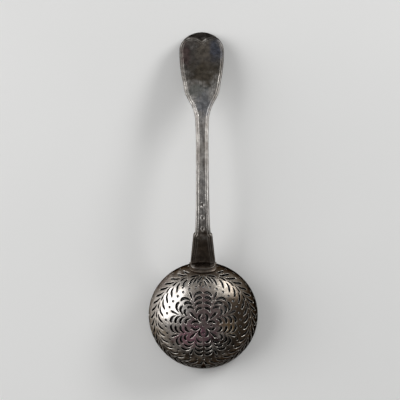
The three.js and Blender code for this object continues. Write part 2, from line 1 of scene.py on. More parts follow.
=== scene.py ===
"""A tarnished silver sugar sifter spoon lying face down, dressed for its picture.

The spoon has a round pierced bowl, a drop plate soldered on the bowl's back and a fiddle handle with
a double thread along its edges. Sizes and places are in millimetres in the part's own frame, except
that finished meshes, the lamps and the floor are in metres.
"""

import logging
import math
from dataclasses import dataclass, field
from enum import Enum
from typing import Optional, Union

import bpy
import numpy as np
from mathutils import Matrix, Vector, geometry, kdtree

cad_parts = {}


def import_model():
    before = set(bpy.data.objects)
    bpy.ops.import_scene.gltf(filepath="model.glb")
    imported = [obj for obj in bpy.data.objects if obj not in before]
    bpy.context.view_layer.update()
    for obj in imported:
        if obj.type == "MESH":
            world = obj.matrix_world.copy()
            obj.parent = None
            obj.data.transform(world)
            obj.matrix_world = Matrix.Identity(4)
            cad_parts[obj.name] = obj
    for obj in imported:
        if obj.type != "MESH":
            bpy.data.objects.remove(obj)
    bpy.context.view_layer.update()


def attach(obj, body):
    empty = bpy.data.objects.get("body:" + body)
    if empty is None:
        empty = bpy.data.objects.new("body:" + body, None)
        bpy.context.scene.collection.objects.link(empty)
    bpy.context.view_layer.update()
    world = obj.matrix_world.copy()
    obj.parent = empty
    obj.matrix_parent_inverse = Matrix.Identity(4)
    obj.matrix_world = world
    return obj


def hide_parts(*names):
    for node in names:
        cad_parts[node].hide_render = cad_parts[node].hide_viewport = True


LOG = logging.getLogger("spoon")
MM = 0.001

Socket = bpy.types.NodeSocket
Level = Union[Socket, float]
Numbers = Union[float, np.ndarray]
Pair = tuple[float, float]
Triple = tuple[float, float, float]


def hermite(knots: np.ndarray, values: np.ndarray, slopes: np.ndarray, at: np.ndarray) -> np.ndarray:
    """Follows the cubic pieces between knots whose values and slopes are given.

    Args:
        knots: Increasing places.
        values: A number or a row of numbers for each knot.
        slopes: The slope at each knot, likewise.
        at: The wanted places, all within the knots.

    Returns:
        The number or the row at each wanted place.
    """
    step = np.diff(knots)
    i = np.clip(np.searchsorted(knots, at) - 1, 0, len(step) - 1)
    u, h = (at - knots[i]) / step[i], step[i]
    if values.ndim > 1:
        u, h = u[:, None], h[:, None]
    v = 1 - u
    return (
        values[i] * v * v * (1 + 2 * u)
        + values[i + 1] * u * u * (3 - 2 * u)
        + h * u * v * (slopes[i] * v - slopes[i + 1] * u)
    )


def smooth_curve(knots: np.ndarray, values: np.ndarray, at: np.ndarray) -> np.ndarray:
    """Passes a cubic curve through a table without overshooting it.

    Args:
        knots: Increasing places of the table.
        values: The value at each place.
        at: Where the curve is wanted. Past the table it keeps the table's end values.

    Returns:
        The curve's value at each wanted place.
    """
    knots, values, at = (np.asarray(a, float) for a in (knots, values, at))
    slope = np.diff(values) / np.diff(knots)
    tangent = np.zeros_like(values)
    same_sign = slope[:-1] * slope[1:] > 0
    mean = 2 * slope[:-1] * slope[1:] / np.where(same_sign, slope[:-1] + slope[1:], 1)
    tangent[1:-1] = np.where(same_sign, mean, 0)
    tangent[0], tangent[-1] = slope[0], slope[-1]
    return hermite(knots, values, tangent, np.clip(at, knots[0], knots[-1]))


def smooth_path(points: np.ndarray, count: int) -> np.ndarray:
    """Samples a smooth path through given points.

    Args:
        points: The points to pass through, one row each.
        count: How many samples to return.

    Returns:
        The samples, one row each.
    """
    points = np.asarray(points, float)
    knots = np.concatenate([[0], np.cumsum(np.linalg.norm(np.diff(points, axis=0), axis=1))])
    padded = np.vstack([2 * points[0] - points[1], points, 2 * points[-1] - points[-2]])
    step = np.diff(knots)
    chord = np.concatenate([step[:1], step, step[-1:]])
    tangent = (padded[2:] - padded[:-2]) / (chord[1:] + chord[:-1])[:, None]
    return hermite(knots, points, tangent, np.linspace(0, knots[-1], count))


def bell(distance: np.ndarray, at: float, spread: float) -> np.ndarray:
    """A bell curve that is 1 at one distance and fades over a spread."""
    return np.exp(-(((distance - at) / spread) ** 2))


def dome(distance: np.ndarray, at: float, half: float) -> np.ndarray:
    """A parabola that is 1 at one distance and 0 past half its width."""
    return np.clip(1 - ((distance - at) / half) ** 2, 0, 1)


def polar(flat: np.ndarray) -> tuple[np.ndarray, np.ndarray]:
    """The arcs and the angles in radians of points given in flat millimetres about the crown."""
    return np.hypot(flat[:, 0], flat[:, 1]), np.arctan2(flat[:, 0], flat[:, 1])


def turned(x: Numbers, y: Numbers, degrees: float) -> tuple[Numbers, Numbers]:
    """A flat point, or many as two arrays, turned about the crown."""
    c, s = math.cos(math.radians(degrees)), math.sin(math.radians(degrees))
    return x * c + y * s, y * c - x * s


def deselect_all() -> None:
    """Leaves nothing selected, so that an operator acts on the new piece alone."""
    for obj in bpy.context.selected_objects:
        obj.select_set(False)


def make_object(name: str, verts: np.ndarray, faces: list) -> bpy.types.Object:
    """Makes a smooth-shaded mesh object at the origin.

    Args:
        name: The object's name.
        verts: The vertices in metres, one row each.
        faces: Tuples of vertex numbers that face outwards.

    Returns:
        The new object, linked to the scene.
    """
    mesh = bpy.data.meshes.new(name)
    mesh.from_pydata(verts.tolist(), [], faces)
    mesh.validate()
    obj = bpy.data.objects.new(name, mesh)
    bpy.context.collection.objects.link(obj)
    mesh.polygons.foreach_set("use_smooth", np.ones(len(mesh.polygons), bool))
    LOG.info("%s: %d faces", name, len(mesh.polygons))
    return obj


def set_attribute(obj: bpy.types.Object, name: str, values: np.ndarray) -> None:
    """Stores one number per vertex for the object's material to read."""
    layer = obj.data.attributes.new(name, "FLOAT", "POINT")
    layer.data.foreach_set("value", np.asarray(values, np.float32))


@dataclass(frozen=True)
class BowlShape:
    """The raised form that the bowl, the drop plate and the handle's tongue all follow.

    A place is given by its arc from the crown, its angle from the handle's side and its offset
    from the outer surface, and is returned in the part's frame.
    """

    radius: float = 33.3
    depth: float = 23.5
    power: float = 2.1
    tilt: float = math.radians(11.5)
    centre_y: float = -70.344
    wall: float = 1.0
    lip_wall: float = 1.4
    lip_turns: tuple[float, ...] = (25, 50, 75, 90)
    samples: int = 3000

    def table(self) -> tuple[np.ndarray, np.ndarray, np.ndarray]:
        """Samples the outer profile from the crown to the lip.

        Returns:
            The arc, the radius and the height at each sample.
        """
        angle = np.linspace(0, math.pi / 2, self.samples)
        r = self.radius * np.sin(angle) ** (2 / self.power)
        h = self.depth * np.clip(np.cos(angle), 0, 1) ** (2 / self.power)
        r[0], h[-1] = 0, 0
        arc = np.concatenate([[0], np.cumsum(np.hypot(np.diff(r), np.diff(h)))])
        return arc, r, h

    def profile(self, arc: np.ndarray) -> tuple[np.ndarray, np.ndarray]:
        """The radius and the height of the outer profile at an arc."""
        arcs, r, h = self.table()
        return np.interp(arc, arcs, r), np.interp(arc, arcs, h)

    def lip_arc(self) -> float:
        """The arc from the crown to the lip."""
        return float(self.table()[0][-1])

    def reach(self, arc: np.ndarray) -> np.ndarray:
        """The radius at an arc."""
        return self.profile(arc)[0]

    def normal(self, arc: np.ndarray, angle: np.ndarray) -> np.ndarray:
        """Finds the outward normal of the outer surface.

        Args:
            arc: Arcs from the crown.
            angle: Angles from the handle's side in radians.

        Returns:
            One unit vector in the part's frame per place.
        """
        r, h = self.profile(arc)
        across = (np.clip(r, 0, None) / self.radius) ** (self.power - 1) / self.radius
        up = (np.clip(h, 0, None) / self.depth) ** (self.power - 1) / self.depth
        size = np.hypot(across, up)
        across, up = across / size, up / size
        return self._tipped(np.stack([across * np.sin(angle), across * np.cos(angle), up], axis=-1))

    def place(self, arc: np.ndarray, angle: np.ndarray, offset: Numbers = 0.0) -> np.ndarray:
        """Finds places in the part's frame.

        Args:
            arc: Arcs from the crown.
            angle: Angles from the handle's side in radians.
            offset: Distances outside the outer surface, or one for all.

        Returns:
            One row in metres per place.
        """
        r, h = self.profile(arc)
        flat = self._tipped(np.stack([r * np.sin(angle), r * np.cos(angle), h], axis=-1))
        return self._settled(flat + self.normal(arc, angle) * np.asarray(offset)[..., None])

    def ring(self, r: float, h: float, angle: np.ndarray) -> np.ndarray:
        """Finds the places of one ring about the bowl's axis.

        Args:
            r: The ring's radius.
            h: Its height over the lip's plane.
            angle: Angles from the handle's side in radians.

        Returns:
            One row in metres per angle.
        """
        flat = np.stack([r * np.sin(angle), r * np.cos(angle), np.full_like(angle, h)], axis=-1)
        return self._settled(self._tipped(flat))

    def wall_at(self, arc: np.ndarray) -> np.ndarray:
        """The wall's thickness at an arc: it thickens towards the lip."""
        share = np.asarray(arc) / self.lip_arc()
        return self.wall + (self.lip_wall - self.wall) * share**4

    def lip_section(self, round_size: float) -> list[Pair]:
        """Goes round the lip's section from the outer skin to the inner one.

        Args:
            round_size: The radius of the lip's two rounded corners.

        Returns:
            The radius and the height of each point between the skins.
        """
        turns = np.radians(self.lip_turns)
        corner = [(round_size * (1 - math.cos(t)), round_size * (1 - math.sin(t))) for t in turns]
        outer, inner = self.radius, self.radius - self.lip_wall
        down = [(outer - into, height) for into, height in corner]
        up = [(inner + into, height) for into, height in corner[::-1]]
        return [*down, ((outer + inner) / 2, 0.0), *up]

    def _tipped(self, flat: np.ndarray) -> np.ndarray:
        """Tips directions or places about the cross axis as the bowl is tipped.

        Args:
            flat: Rows of x, y and z about the bowl's own axis.

        Returns:
            The tipped rows.
        """
        c, s = math.cos(self.tilt), math.sin(self.tilt)
        x, y, z = flat[..., 0], flat[..., 1], flat[..., 2]
        return np.stack([x, y * c - z * s, y * s + z * c], axis=-1)

    def _settled(self, flat: np.ndarray) -> np.ndarray:
        """Moves tipped places to where the bowl stands, in metres."""
        lift = np.array([0, self.centre_y, self.radius * math.sin(self.tilt)])
        return (flat + lift) * MM


class SlitKind(Enum):
    """How the width of a saw cut runs along it: shares of its length and of its full width."""

    ARC = ((0.0, 0.66), (0.14, 1.0), (0.45, 0.97), (0.75, 0.7), (1.0, 0.34))
    LEAF = ((0.0, 0.36), (0.25, 0.76), (0.62, 1.0), (0.86, 0.88), (1.0, 0.46))
    DART = ((0.0, 0.3), (0.4, 0.66), (0.78, 1.0), (1.0, 0.66))
    CRESCENT = ((0.0, 0.36), (0.3, 0.84), (0.62, 1.0), (0.85, 0.85), (1.0, 0.4))


@dataclass(frozen=True)
class Slit:
    """One saw cut: the line that it follows and its width on the bowl's back.

    near_crown tells that the line is in flat millimetres about the crown. Otherwise each point
    is an arc and an angle in degrees.
    """

    line: tuple[Pair, ...]
    width: float
    kind: SlitKind
    near_crown: bool = True


@dataclass(frozen=True)
class Hole:
    """One drilled hole, by arc and angle in degrees, with its radius."""

    arc: float
    degrees: float
    radius: float


@dataclass(frozen=True)
class LeafRow:
    """A row of like leaves: how many, the first one's angle, the step, and one leaf's line.

    The line's points are arcs and angles past the leaf's own, in degrees.
    """

    count: int
    first: float
    step: float
    line: tuple[Pair, ...]
    width: float
    kind: SlitKind


# One side of a petal of the rosette, as distances along its axis and beside it in the pattern's
# units, each cut with its width in millimetres: the crescent by the eye and four arcs.
PETAL_CUTS = (
    (((3.9, 2.7), (6.5, 4.05), (9.6, 3.95), (12.0, 1.9)), 1.25, SlitKind.CRESCENT),
    (((33.1, 1.7), (33.4, 4.2), (31.4, 7.7), (28.5, 9.1)), 1.3, SlitKind.ARC),
    (((28.2, 1.7), (28.4, 4.1), (26.6, 7.4), (23.8, 8.8)), 1.3, SlitKind.ARC),
    (((23.1, 1.7), (23.2, 4.0), (21.6, 6.9), (19.0, 8.1)), 1.25, SlitKind.ARC),
    (((17.7, 1.7), (17.8, 3.5), (16.4, 5.8), (13.3, 6.9)), 1.2, SlitKind.ARC),
)
# The same for a petal that stands between two of those: three arcs.
BETWEEN_CUTS = (
    (((33.8, 1.6), (33.9, 4.1), (31.5, 7.3), (27.3, 8.6)), 1.3, SlitKind.ARC),
    (((28.7, 1.5), (28.6, 3.6), (26.5, 6.2), (22.4, 7.2)), 1.25, SlitKind.ARC),
    (((23.7, 1.4), (23.4, 3.0), (21.3, 4.7), (18.2, 4.7)), 1.1, SlitKind.ARC),
)
# The straight darts that point at the crown: start and end in the pattern's units, and width.
BETWEEN_BAR = (9.4, 18.4, 1.4)
GAP_BAR = (27.4, 35.8, 1.15)

# The garland's rows on one side: the inner leaves, the fine middle ones and the outer ones.
GARLAND_ROWS = (
    LeafRow(17, 10.3, 10.1, ((29.8, -0.4), (28.7, 4.4), (25.9, 9.3)), 1.15, SlitKind.LEAF),
    LeafRow(14, 20.0, 11.4, ((31.6, -0.3), (31.5, 3.8), (31.1, 8.2)), 0.95, SlitKind.DART),
    LeafRow(19, 19.6, 8.53, ((33.0, -0.3), (34.3, 5.0), (37.3, 9.9)), 1.2, SlitKind.LEAF),
)
# One side of the tuft by the handle where the garland starts, as arcs and angles in degrees.
TUFT_CUTS = (
    (((34.3, 16.2), (35.6, 19.6), (37.6, 22.0)), 1.0, SlitKind.LEAF),
    (((31.0, 4.9), (31.1, 9.6), (30.9, 15.6)), 0.85, SlitKind.LEAF),
    (((29.9, 5.2), (28.7, 8.6), (26.5, 13.6)), 1.0, SlitKind.LEAF),
    (((30.4, 1.2), (28.6, 3.6), (26.0, 9.0)), 1.0, SlitKind.LEAF),
    (((27.6, 1.1), (24.4, 4.9)), 1.0, SlitKind.DART),
)


@dataclass
class Piercing:
    """The bowl's pierced pattern, laid out about the crown in millimetres and degrees."""

    shape: BowlShape
    unit: float = 0.597
    kerf: float = 0.42
    narrowing: float = 0.07
    crown_radius: float = 0.5
    eye_distance: float = 7.7
    eye_radius: float = 0.66
    ring_arc: float = 23.5
    ring_count: int = 34
    ring_radius: float = 0.79
    lip_row_arc: float = 40.6
    lip_row_first: float = 16.0
    lip_row_step: float = 8.9
    lip_row_count: int = 19
    lip_row_radius: float = 0.68
    slit_steps: int = 13
    tip_turn: float = 35.0
    hole_sides: int = 12
    last_degrees: float = 178.0
    least_gap: float = 0.46
    fitting_rounds: int = 14
    fitting_step: float = 0.94

    def petal(self, cuts: tuple, turn: float) -> list[Slit]:
        """Lays out a petal's cuts on both sides of its axis.

        Args:
            cuts: The line, the width and the kind of each cut on one side.
            turn: The axis's direction in degrees.

        Returns:
            The petal's cuts.
        """
        slits = []
        for line, width, kind in cuts:
            for side in (-self.unit, self.unit):
                points = (turned(side * across, along * self.unit, turn) for along, across in line)
                slits.append(Slit(tuple(points), width, kind))
        return slits

    def bar(self, turn: float, start: float, end: float, width: float) -> Slit:
        """Lays out a straight dart that points at the crown.

        Args:
            turn: Its direction in degrees.
            start: Its start in the pattern's units.
            end: Its end, likewise.
            width: Its width in millimetres.

        Returns:
            The cut.
        """
        along = np.linspace(start, end, 3) * self.unit
        return Slit(tuple(turned(0.0, a, turn) for a in along), width, SlitKind.DART)

    def rosette(self) -> list[Slit]:
        """Lays out four petals with an eye, four between them on a bar, and darts in the gaps.

        Returns:
            The rosette's cuts.
        """
        slits = []
        for axis in (0.0, 90.0, 180.0, 270.0):
            slits += self.petal(PETAL_CUTS, axis)
            slits.append(self.bar(axis + 45, *BETWEEN_BAR))
            slits += self.petal(BETWEEN_CUTS, axis + 45)
            slits += [self.bar(axis + beside, *GAP_BAR) for beside in (22.5, 67.5)]
        return slits

    def leaf(self, line: list[Pair], width: float, kind: SlitKind, side: int) -> Slit:
        """A cut of the garland, which stops short of the middle line opposite the handle."""
        points = tuple((arc, side * min(degrees, self.last_degrees)) for arc, degrees in line)
        return Slit(points, width, kind, near_crown=False)

    def garland(self) -> list[Slit]:
        """Lays out three rows of leaves on each of two branches, and the tuft where they start.

        Returns:
            The garland's cuts.
        """
        slits = []
        for side in (-1, 1):
            for row in GARLAND_ROWS:
                for i in range(row.count):
                    own = row.first + row.step * i
                    line = [(arc, own + past) for arc, past in row.line]
                    slits.append(self.leaf(line, row.width, row.kind, side))
            slits += [self.leaf(*cut, side) for cut in TUFT_CUTS]
        return slits

    def holes(self) -> list[Hole]:
        """Lays out the drilled holes: the crown's, the eyes, the ring and the row by the lip.

        Returns:
            The holes.
        """
        holes = [Hole(0.0, 0.0, self.crown_radius)]
        holes += [Hole(self.eye_distance * self.unit, 90.0 * i, self.eye_radius) for i in range(4)]
        for i in range(self.ring_count):
            holes.append(Hole(self.ring_arc, 360.0 * i / self.ring_count, self.ring_radius))
        for side in (-1, 1):
            for i in range(self.lip_row_count):
                degrees = side * (self.lip_row_first + self.lip_row_step * i)
                holes.append(Hole(self.lip_row_arc, degrees, self.lip_row_radius))
        return holes

    def slit_outline(self, slit: Slit, width_share: float) -> np.ndarray:
        """Draws the closed outline of a saw cut.

        Args:
            slit: The saw cut.
            width_share: The share of its full width.

        Returns:
            The outline's points in flat millimetres about the crown.
        """
        line = np.array(slit.line)
        if slit.near_crown:
            return self.ribbon(line, slit, width_share)
        arc0, degrees0 = line.mean(axis=0)
        reach = float(self.shape.reach(arc0))
        true = np.stack([np.radians(line[:, 1] - degrees0) * reach, line[:, 0] - arc0], axis=1)
        edge = self.ribbon(true, slit, width_share)
        arc = edge[:, 1] + arc0
        angle = math.radians(degrees0) + edge[:, 0] / reach
        return np.stack([arc * np.sin(angle), arc * np.cos(angle)], axis=1)

    def ribbon(self, line: np.ndarray, slit: Slit, width_share: float) -> np.ndarray:
        """Draws a band of varying width with rounded ends about a line.

        Args:
            line: The line's points in true millimetres.
            slit: The saw cut, for its width and its kind.
            width_share: The share of its full width.

        Returns:
            The band's outline, counter-clockwise.
        """
        path = smooth_path(line, self.slit_steps)
        along = np.gradient(path, axis=0)
        along /= np.linalg.norm(along, axis=1)[:, None]
        across = np.stack([-along[:, 1], along[:, 0]], axis=1)
        shares = np.array(slit.kind.value)
        full = (slit.width + self.kerf) * width_share
        half = np.interp(np.linspace(0, 1, len(path)), shares[:, 0], shares[:, 1]) * full / 2
        left = path + across * half[:, None]
        right = path - across * half[:, None]

        def tip(i: int, way: float) -> np.ndarray:
            """Rounds an end off.

            Args:
                i: The number of the path's last point there.
                way: 1.0 at the path's end, and -1.0 at its start.

            Returns:
                The two points between the band's corners.
            """
            turns = np.radians([self.tip_turn, -self.tip_turn]) * way
            out, aside = along[i] * way * half[i], across[i] * half[i]
            return np.array([path[i] + out * math.cos(t) + aside * math.sin(t) for t in turns])

        loop = np.vstack([left, tip(-1, 1.0), right[::-1], tip(0, -1.0)])
        area = np.sum(loop[:, 0] * np.roll(loop[:, 1], -1) - loop[:, 1] * np.roll(loop[:, 0], -1))
        return loop if area > 0 else loop[::-1]

    def hole_outline(self, hole: Hole, width_share: float) -> np.ndarray:
        """Draws the outline of a drilled hole, which comes out round on the raised bowl.

        Args:
            hole: The hole.
            width_share: The share of its full width.

        Returns:
            The outline's points in flat millimetres about the crown.
        """
        turn = np.linspace(0, 2 * math.pi, self.hole_sides, endpoint=False)
        stretch = hole.arc / float(self.shape.reach(hole.arc)) if hole.arc else 1.0
        radius = hole.radius * width_share
        x, y = np.cos(turn) * radius * stretch, np.sin(turn) * radius + hole.arc
        return np.stack(turned(x, y, hole.degrees), axis=1)

    def drawn(
        self, slits: list[Slit], holes: list[Hole], shares: np.ndarray, deep: float
    ) -> list[np.ndarray]:
        """Draws every cut's outline, slits first.

        Args:
            slits: The saw cuts.
            holes: The drilled holes.
            shares: Each cut's share of its full width.
            deep: The share of a slit's width left at this depth. A hole narrows half as much.

        Returns:
            The counter-clockwise outlines, in flat millimetres about the crown.
        """
        lines = [self.slit_outline(slit, share * deep) for slit, share in zip(slits, shares)]
        rounds = zip(holes, shares[len(slits) :])
        return lines + [self.hole_outline(hole, share * (1 + deep) / 2) for hole, share in rounds]

    def crowded(self, outlines: list[np.ndarray]) -> list[int]:
        """Finds the cuts that leave too little metal between them and a neighbour.

        Args:
            outlines: Every cut's outline.

        Returns:
            The numbers of the crowded cuts.
        """
        middles = np.array([outline.mean(axis=0) for outline in outlines])
        reaches = np.array([np.linalg.norm(o - m, axis=1).max() for o, m in zip(outlines, middles)])
        found = set()
        for i, outline in enumerate(outlines):
            apart = np.linalg.norm(middles[i + 1 :] - middles[i], axis=1)
            near = np.nonzero(apart < reaches[i] + reaches[i + 1 :] + self.least_gap)[0] + i + 1
            for j in near:
                gap = min(self.gap(outline, outlines[j]), self.gap(outlines[j], outline))
                if gap < self.least_gap:
                    found |= {i, int(j)}
        return sorted(found)

    @staticmethod
    def gap(points: np.ndarray, loop: np.ndarray) -> float:
        """Measures the least distance from some points to the sides of a loop.

        Args:
            points: One outline's points.
            loop: Another outline's points.

        Returns:
            The distance.
        """
        sides = np.roll(loop, -1, axis=0) - loop
        away = points[:, None, :] - loop[None]
        share = np.clip(np.sum(away * sides, axis=2) / np.sum(sides**2, axis=1), 0, 1)
        return float(np.linalg.norm(away - share[..., None] * sides, axis=2).min())

    def outlines(self) -> tuple[list[np.ndarray], list[np.ndarray]]:
        """Draws every cut on the outer skin and, as saw cuts taper, at the inner one.

        Cuts that crowd each other are made narrower by small steps until metal is left between.

        Returns:
            The two lists of counter-clockwise outlines, in flat millimetres about the crown.
        """
        slits, holes = self.rosette() + self.garland(), self.holes()
        shares = np.ones(len(slits) + len(holes))
        for _ in range(self.fitting_rounds):
            high = self.drawn(slits, holes, shares, 1.0)
            tight = self.crowded(high)
            if not tight:
                break
            shares[tight] *= self.fitting_step
        narrowed = int(np.sum(shares < 1))
        LOG.info("piercing: %d cuts, %d made narrower, %d tight", len(high), narrowed, len(tight))
        return high, self.drawn(slits, holes, shares, self.narrowing)


@dataclass
class RingMesh:
    """The bowl's mesh while it is laid down, with what its material reads at each vertex.

    depths says how deep in a cut a vertex lies, and sides how near the inner skin, from 0 to 1.
    """

    places: list[np.ndarray] = field(default_factory=list)
    normals: list[np.ndarray] = field(default_factory=list)
    depths: list[np.ndarray] = field(default_factory=list)
    sides: list[np.ndarray] = field(default_factory=list)
    faces: list[tuple] = field(default_factory=list)
    total: int = 0

    def lay(self, places: np.ndarray, depth: Numbers, side: float, normals: Numbers = 0.0) -> np.ndarray:
        """Lays down a group of vertices.

        Args:
            places: The vertices in metres, one row each.
            depth: How deep in a cut they lie: one number, or one for each.
            side: How near the inner skin they lie.
            normals: Their own normals, or 0 for those of the finished mesh.

        Returns:
            The numbers of the vertices.
        """
        count = len(places)
        self.places.append(places)
        self.normals.append(np.zeros_like(places) + normals)
        self.depths.append(np.full(count, depth))
        self.sides.append(np.full(count, side))
        self.total += count
        return np.arange(self.total - count, self.total)

    def join(self, high: np.ndarray, low: np.ndarray, in_cut: bool) -> None:
        """Joins two closed rings that run the same way round.

        Args:
            high: The vertex numbers of the ring nearer the outer skin.
            low: Those of the next ring.
            in_cut: True for the wall of a cut, and false round the bowl's lip.
        """
        corners = [high, low, np.roll(low, -1), np.roll(high, -1)]
        if in_cut:
            corners = [corners[k] for k in (0, 3, 2, 1)]
        self.faces += [tuple(face) for face in np.stack(corners, axis=1).tolist()]

    def finished(self, name: str) -> bpy.types.Object:
        """Makes the object, with its own normals and its stored depths and sides.

        Args:
            name: The object's name.

        Returns:
            The object.
        """
        obj = make_object(name, np.vstack(self.places), self.faces)
        set_attribute(obj, "cut_depth", np.concatenate(self.depths))
        set_attribute(obj, "skin_side", np.concatenate(self.sides))
        obj.data.normals_split_custom_set_from_vertices(np.vstack(self.normals).tolist())
        return obj


@dataclass
class PiercedBowl:
    """The bowl, made as a pierced sheet that is raised: two skins, and a rounded wall in each cut.

    The depths and the sides are what the rings of the walls and the lip store for the material.
    """

    shape: BowlShape = field(default_factory=BowlShape)
    outer_round: float = 0.17
    inner_round: float = 0.05
    middle_share: float = 0.3
    sharpest: float = 0.7
    lip_round: float = 0.45
    rim_points: int = 260
    grid_step: float = 1.0
    grid_rise_share: float = 0.866
    rim_gap_share: float = 0.6
    clear_of_cut: float = 0.42
    weld: float = 1e-6
    slit_rim_depth: float = 0.08
    hole_rim_depth: float = 0.0
    wall_top_depth: float = 0.2
    wall_foot_depth: float = 0.95
    wall_side: float = 0.5
    lip_side: float = 0.25

    def grown(self, loops: list[np.ndarray], amount: float) -> np.ndarray:
        """Moves the points of counter-clockwise loops outwards.

        Args:
            loops: The loops.
            amount: How far their sides move.

        Returns:
            The moved points of all the loops, one row each.
        """
        moved = []
        for loop in loops:
            ahead = np.roll(loop, -1, axis=0) - loop
            ahead /= np.linalg.norm(ahead, axis=1)[:, None]
            way = ahead + np.roll(ahead, 1, axis=0)
            way /= np.linalg.norm(way, axis=1)[:, None]
            outward = np.stack([way[:, 1], -way[:, 0]], axis=1)
            stretch = 1 / np.clip(np.sum(way * ahead, axis=1), self.sharpest, 1)
            moved.append(loop + outward * (amount * stretch)[:, None])
        return np.vstack(moved)

    def fill_points(self, rim: np.ndarray, edges: np.ndarray) -> np.ndarray:
        """Spreads points all over the sheet that keep clear of its cuts and its rim.

        Args:
            rim: The rim's points.
            edges: The points of all cuts.

        Returns:
            The points in flat millimetres, one row each.
        """
        reach = float(np.hypot(rim[0, 0], rim[0, 1]))
        step = self.grid_step
        rows = []
        for k, y in enumerate(np.arange(-reach, reach, step * self.grid_rise_share)):
            x = np.arange(-reach, reach, step) + (k % 2) * step / 2
            rows.append(np.stack([x, np.full_like(x, y)], axis=1))
        points = np.vstack(rows)
        points = points[polar(points)[0] < reach - step * self.rim_gap_share]
        tree = kdtree.KDTree(len(edges))
        for i, (x, y) in enumerate(edges):
            tree.insert((x, y, 0), i)
        tree.balance()
        keep = [tree.find((x, y, 0))[2] > self.clear_of_cut for x, y in points]
        return points[np.array(keep)]

    def sheet_faces(self, sheet: np.ndarray, loops: list[np.ndarray]) -> list[tuple]:
        """Fills the sheet with triangles, all but its cuts.

        Args:
            sheet: The sheet's points in flat millimetres.
            loops: The numbers of the points round each cut, and last of those round the rim.

        Returns:
            Tuples of point numbers.
        """
        points = [Vector(p) for p in sheet.tolist()]
        edges = [pair for loop in loops for pair in zip(loop.tolist(), np.roll(loop, -1).tolist())]
        cuts = [loop.tolist() for loop in loops[:-1]]
        found = geometry.delaunay_2d_cdt(points, edges, cuts, 0, self.weld)
        points_out, faces_out, came_from, face_from = found[0], found[2], found[3], found[5]
        if len(points_out) != len(sheet):
            LOG.warning("cuts touch: %d points became %d", len(sheet), len(points_out))
        number = [ids[0] if ids else -1 for ids in came_from]
        faces = [tuple(number[v] for v in face) for face, ids in zip(faces_out, face_from) if not ids]
        return [face for face in faces if min(face) >= 0]

    def below_back(self, flat: np.ndarray, depth: np.ndarray) -> np.ndarray:
        """The places in metres at a depth below the bowl's back."""
        arc, angle = polar(flat)
        return self.shape.place(arc, angle, -depth)

    def build(self) -> bpy.types.Object:
        """Builds the bowl and stores what its material reads at each vertex.

        Returns:
            The bowl's object.
        """
        shape, piercing, mesh = self.shape, Piercing(self.shape), RingMesh()
        cuts, low_cuts = piercing.outlines()
        turn = np.linspace(0, 2 * math.pi, self.rim_points, endpoint=False)
        rim = np.stack([np.cos(turn), np.sin(turn)], axis=1) * (shape.lip_arc() - self.lip_round)
        edges = self.grown(cuts, self.outer_round)
        sheet = np.vstack([edges, rim, self.fill_points(rim, edges)])
        inside = sheet.copy()
        inside[: len(edges)] = self.grown(low_cuts, self.inner_round)
        ends = np.cumsum([len(loop) for loop in [*cuts, rim]])
        loops = np.split(np.arange(ends[-1]), ends[:-1])

        arc, angle = polar(sheet)
        mesh.lay(shape.place(arc, angle), 0.0, 0.0, shape.normal(arc, angle))
        arc_in, angle_in = polar(inside)
        inner_skin = shape.place(arc_in, angle_in, -shape.wall_at(arc_in))
        mesh.lay(inner_skin, 1.0, 1.0, -shape.normal(arc_in, angle_in))
        mesh.faces = self.sheet_faces(sheet, loops)
        mesh.faces += [tuple(v + len(sheet) for v in face[::-1]) for face in mesh.faces]

        sunk = self.outer_round * self.middle_share
        foot = shape.wall_at(polar(np.vstack(low_cuts))[0]) - self.inner_round
        rounds = np.repeat([len(cut) == piercing.hole_sides for cut in cuts], [len(cut) for cut in cuts])
        rim_depth = np.where(rounds, self.hole_rim_depth, self.slit_rim_depth)
        rings = [
            np.arange(len(edges)),
            mesh.lay(self.below_back(self.grown(cuts, sunk), sunk), rim_depth, self.wall_side),
            mesh.lay(
                self.below_back(np.vstack(cuts), self.outer_round), self.wall_top_depth, self.wall_side
            ),
            mesh.lay(self.below_back(np.vstack(low_cuts), foot), self.wall_foot_depth, self.wall_side),
            np.arange(len(edges)) + len(sheet),
        ]
        for loop in loops[:-1]:
            for high, low in zip(rings, rings[1:]):
                mesh.join(high[loop], low[loop], in_cut=True)

        previous = loops[-1]
        for r, h in shape.lip_section(self.lip_round):
            ring = mesh.lay(shape.ring(r, h, angle[loops[-1]]), 0.0, self.lip_side)
            mesh.join(previous, ring, in_cut=False)
            previous = ring
        mesh.join(previous, loops[-1] + len(sheet), in_cut=False)

        obj = mesh.finished("pierced_bowl")
        set_attribute(obj, "rim_share", self.rim_shares(np.vstack(mesh.places)))
        return obj

    def rim_shares(self, verts: np.ndarray) -> np.ndarray:
        """Measures how far vertices lie from the bowl's axis.

        Args:
            verts: The vertices in metres, one row each.

        Returns:
            The distances as shares of the bowl's radius.
        """
        foot = self.shape.ring(0.0, 0.0, np.zeros(1))[0]
        along = self.shape.ring(0.0, 1.0, np.zeros(1))[0] - foot
        along /= np.linalg.norm(along)
        out = verts - foot
        away = out - (out @ along)[:, None] * along
        return np.linalg.norm(away, axis=1) / (self.shape.radius * MM)


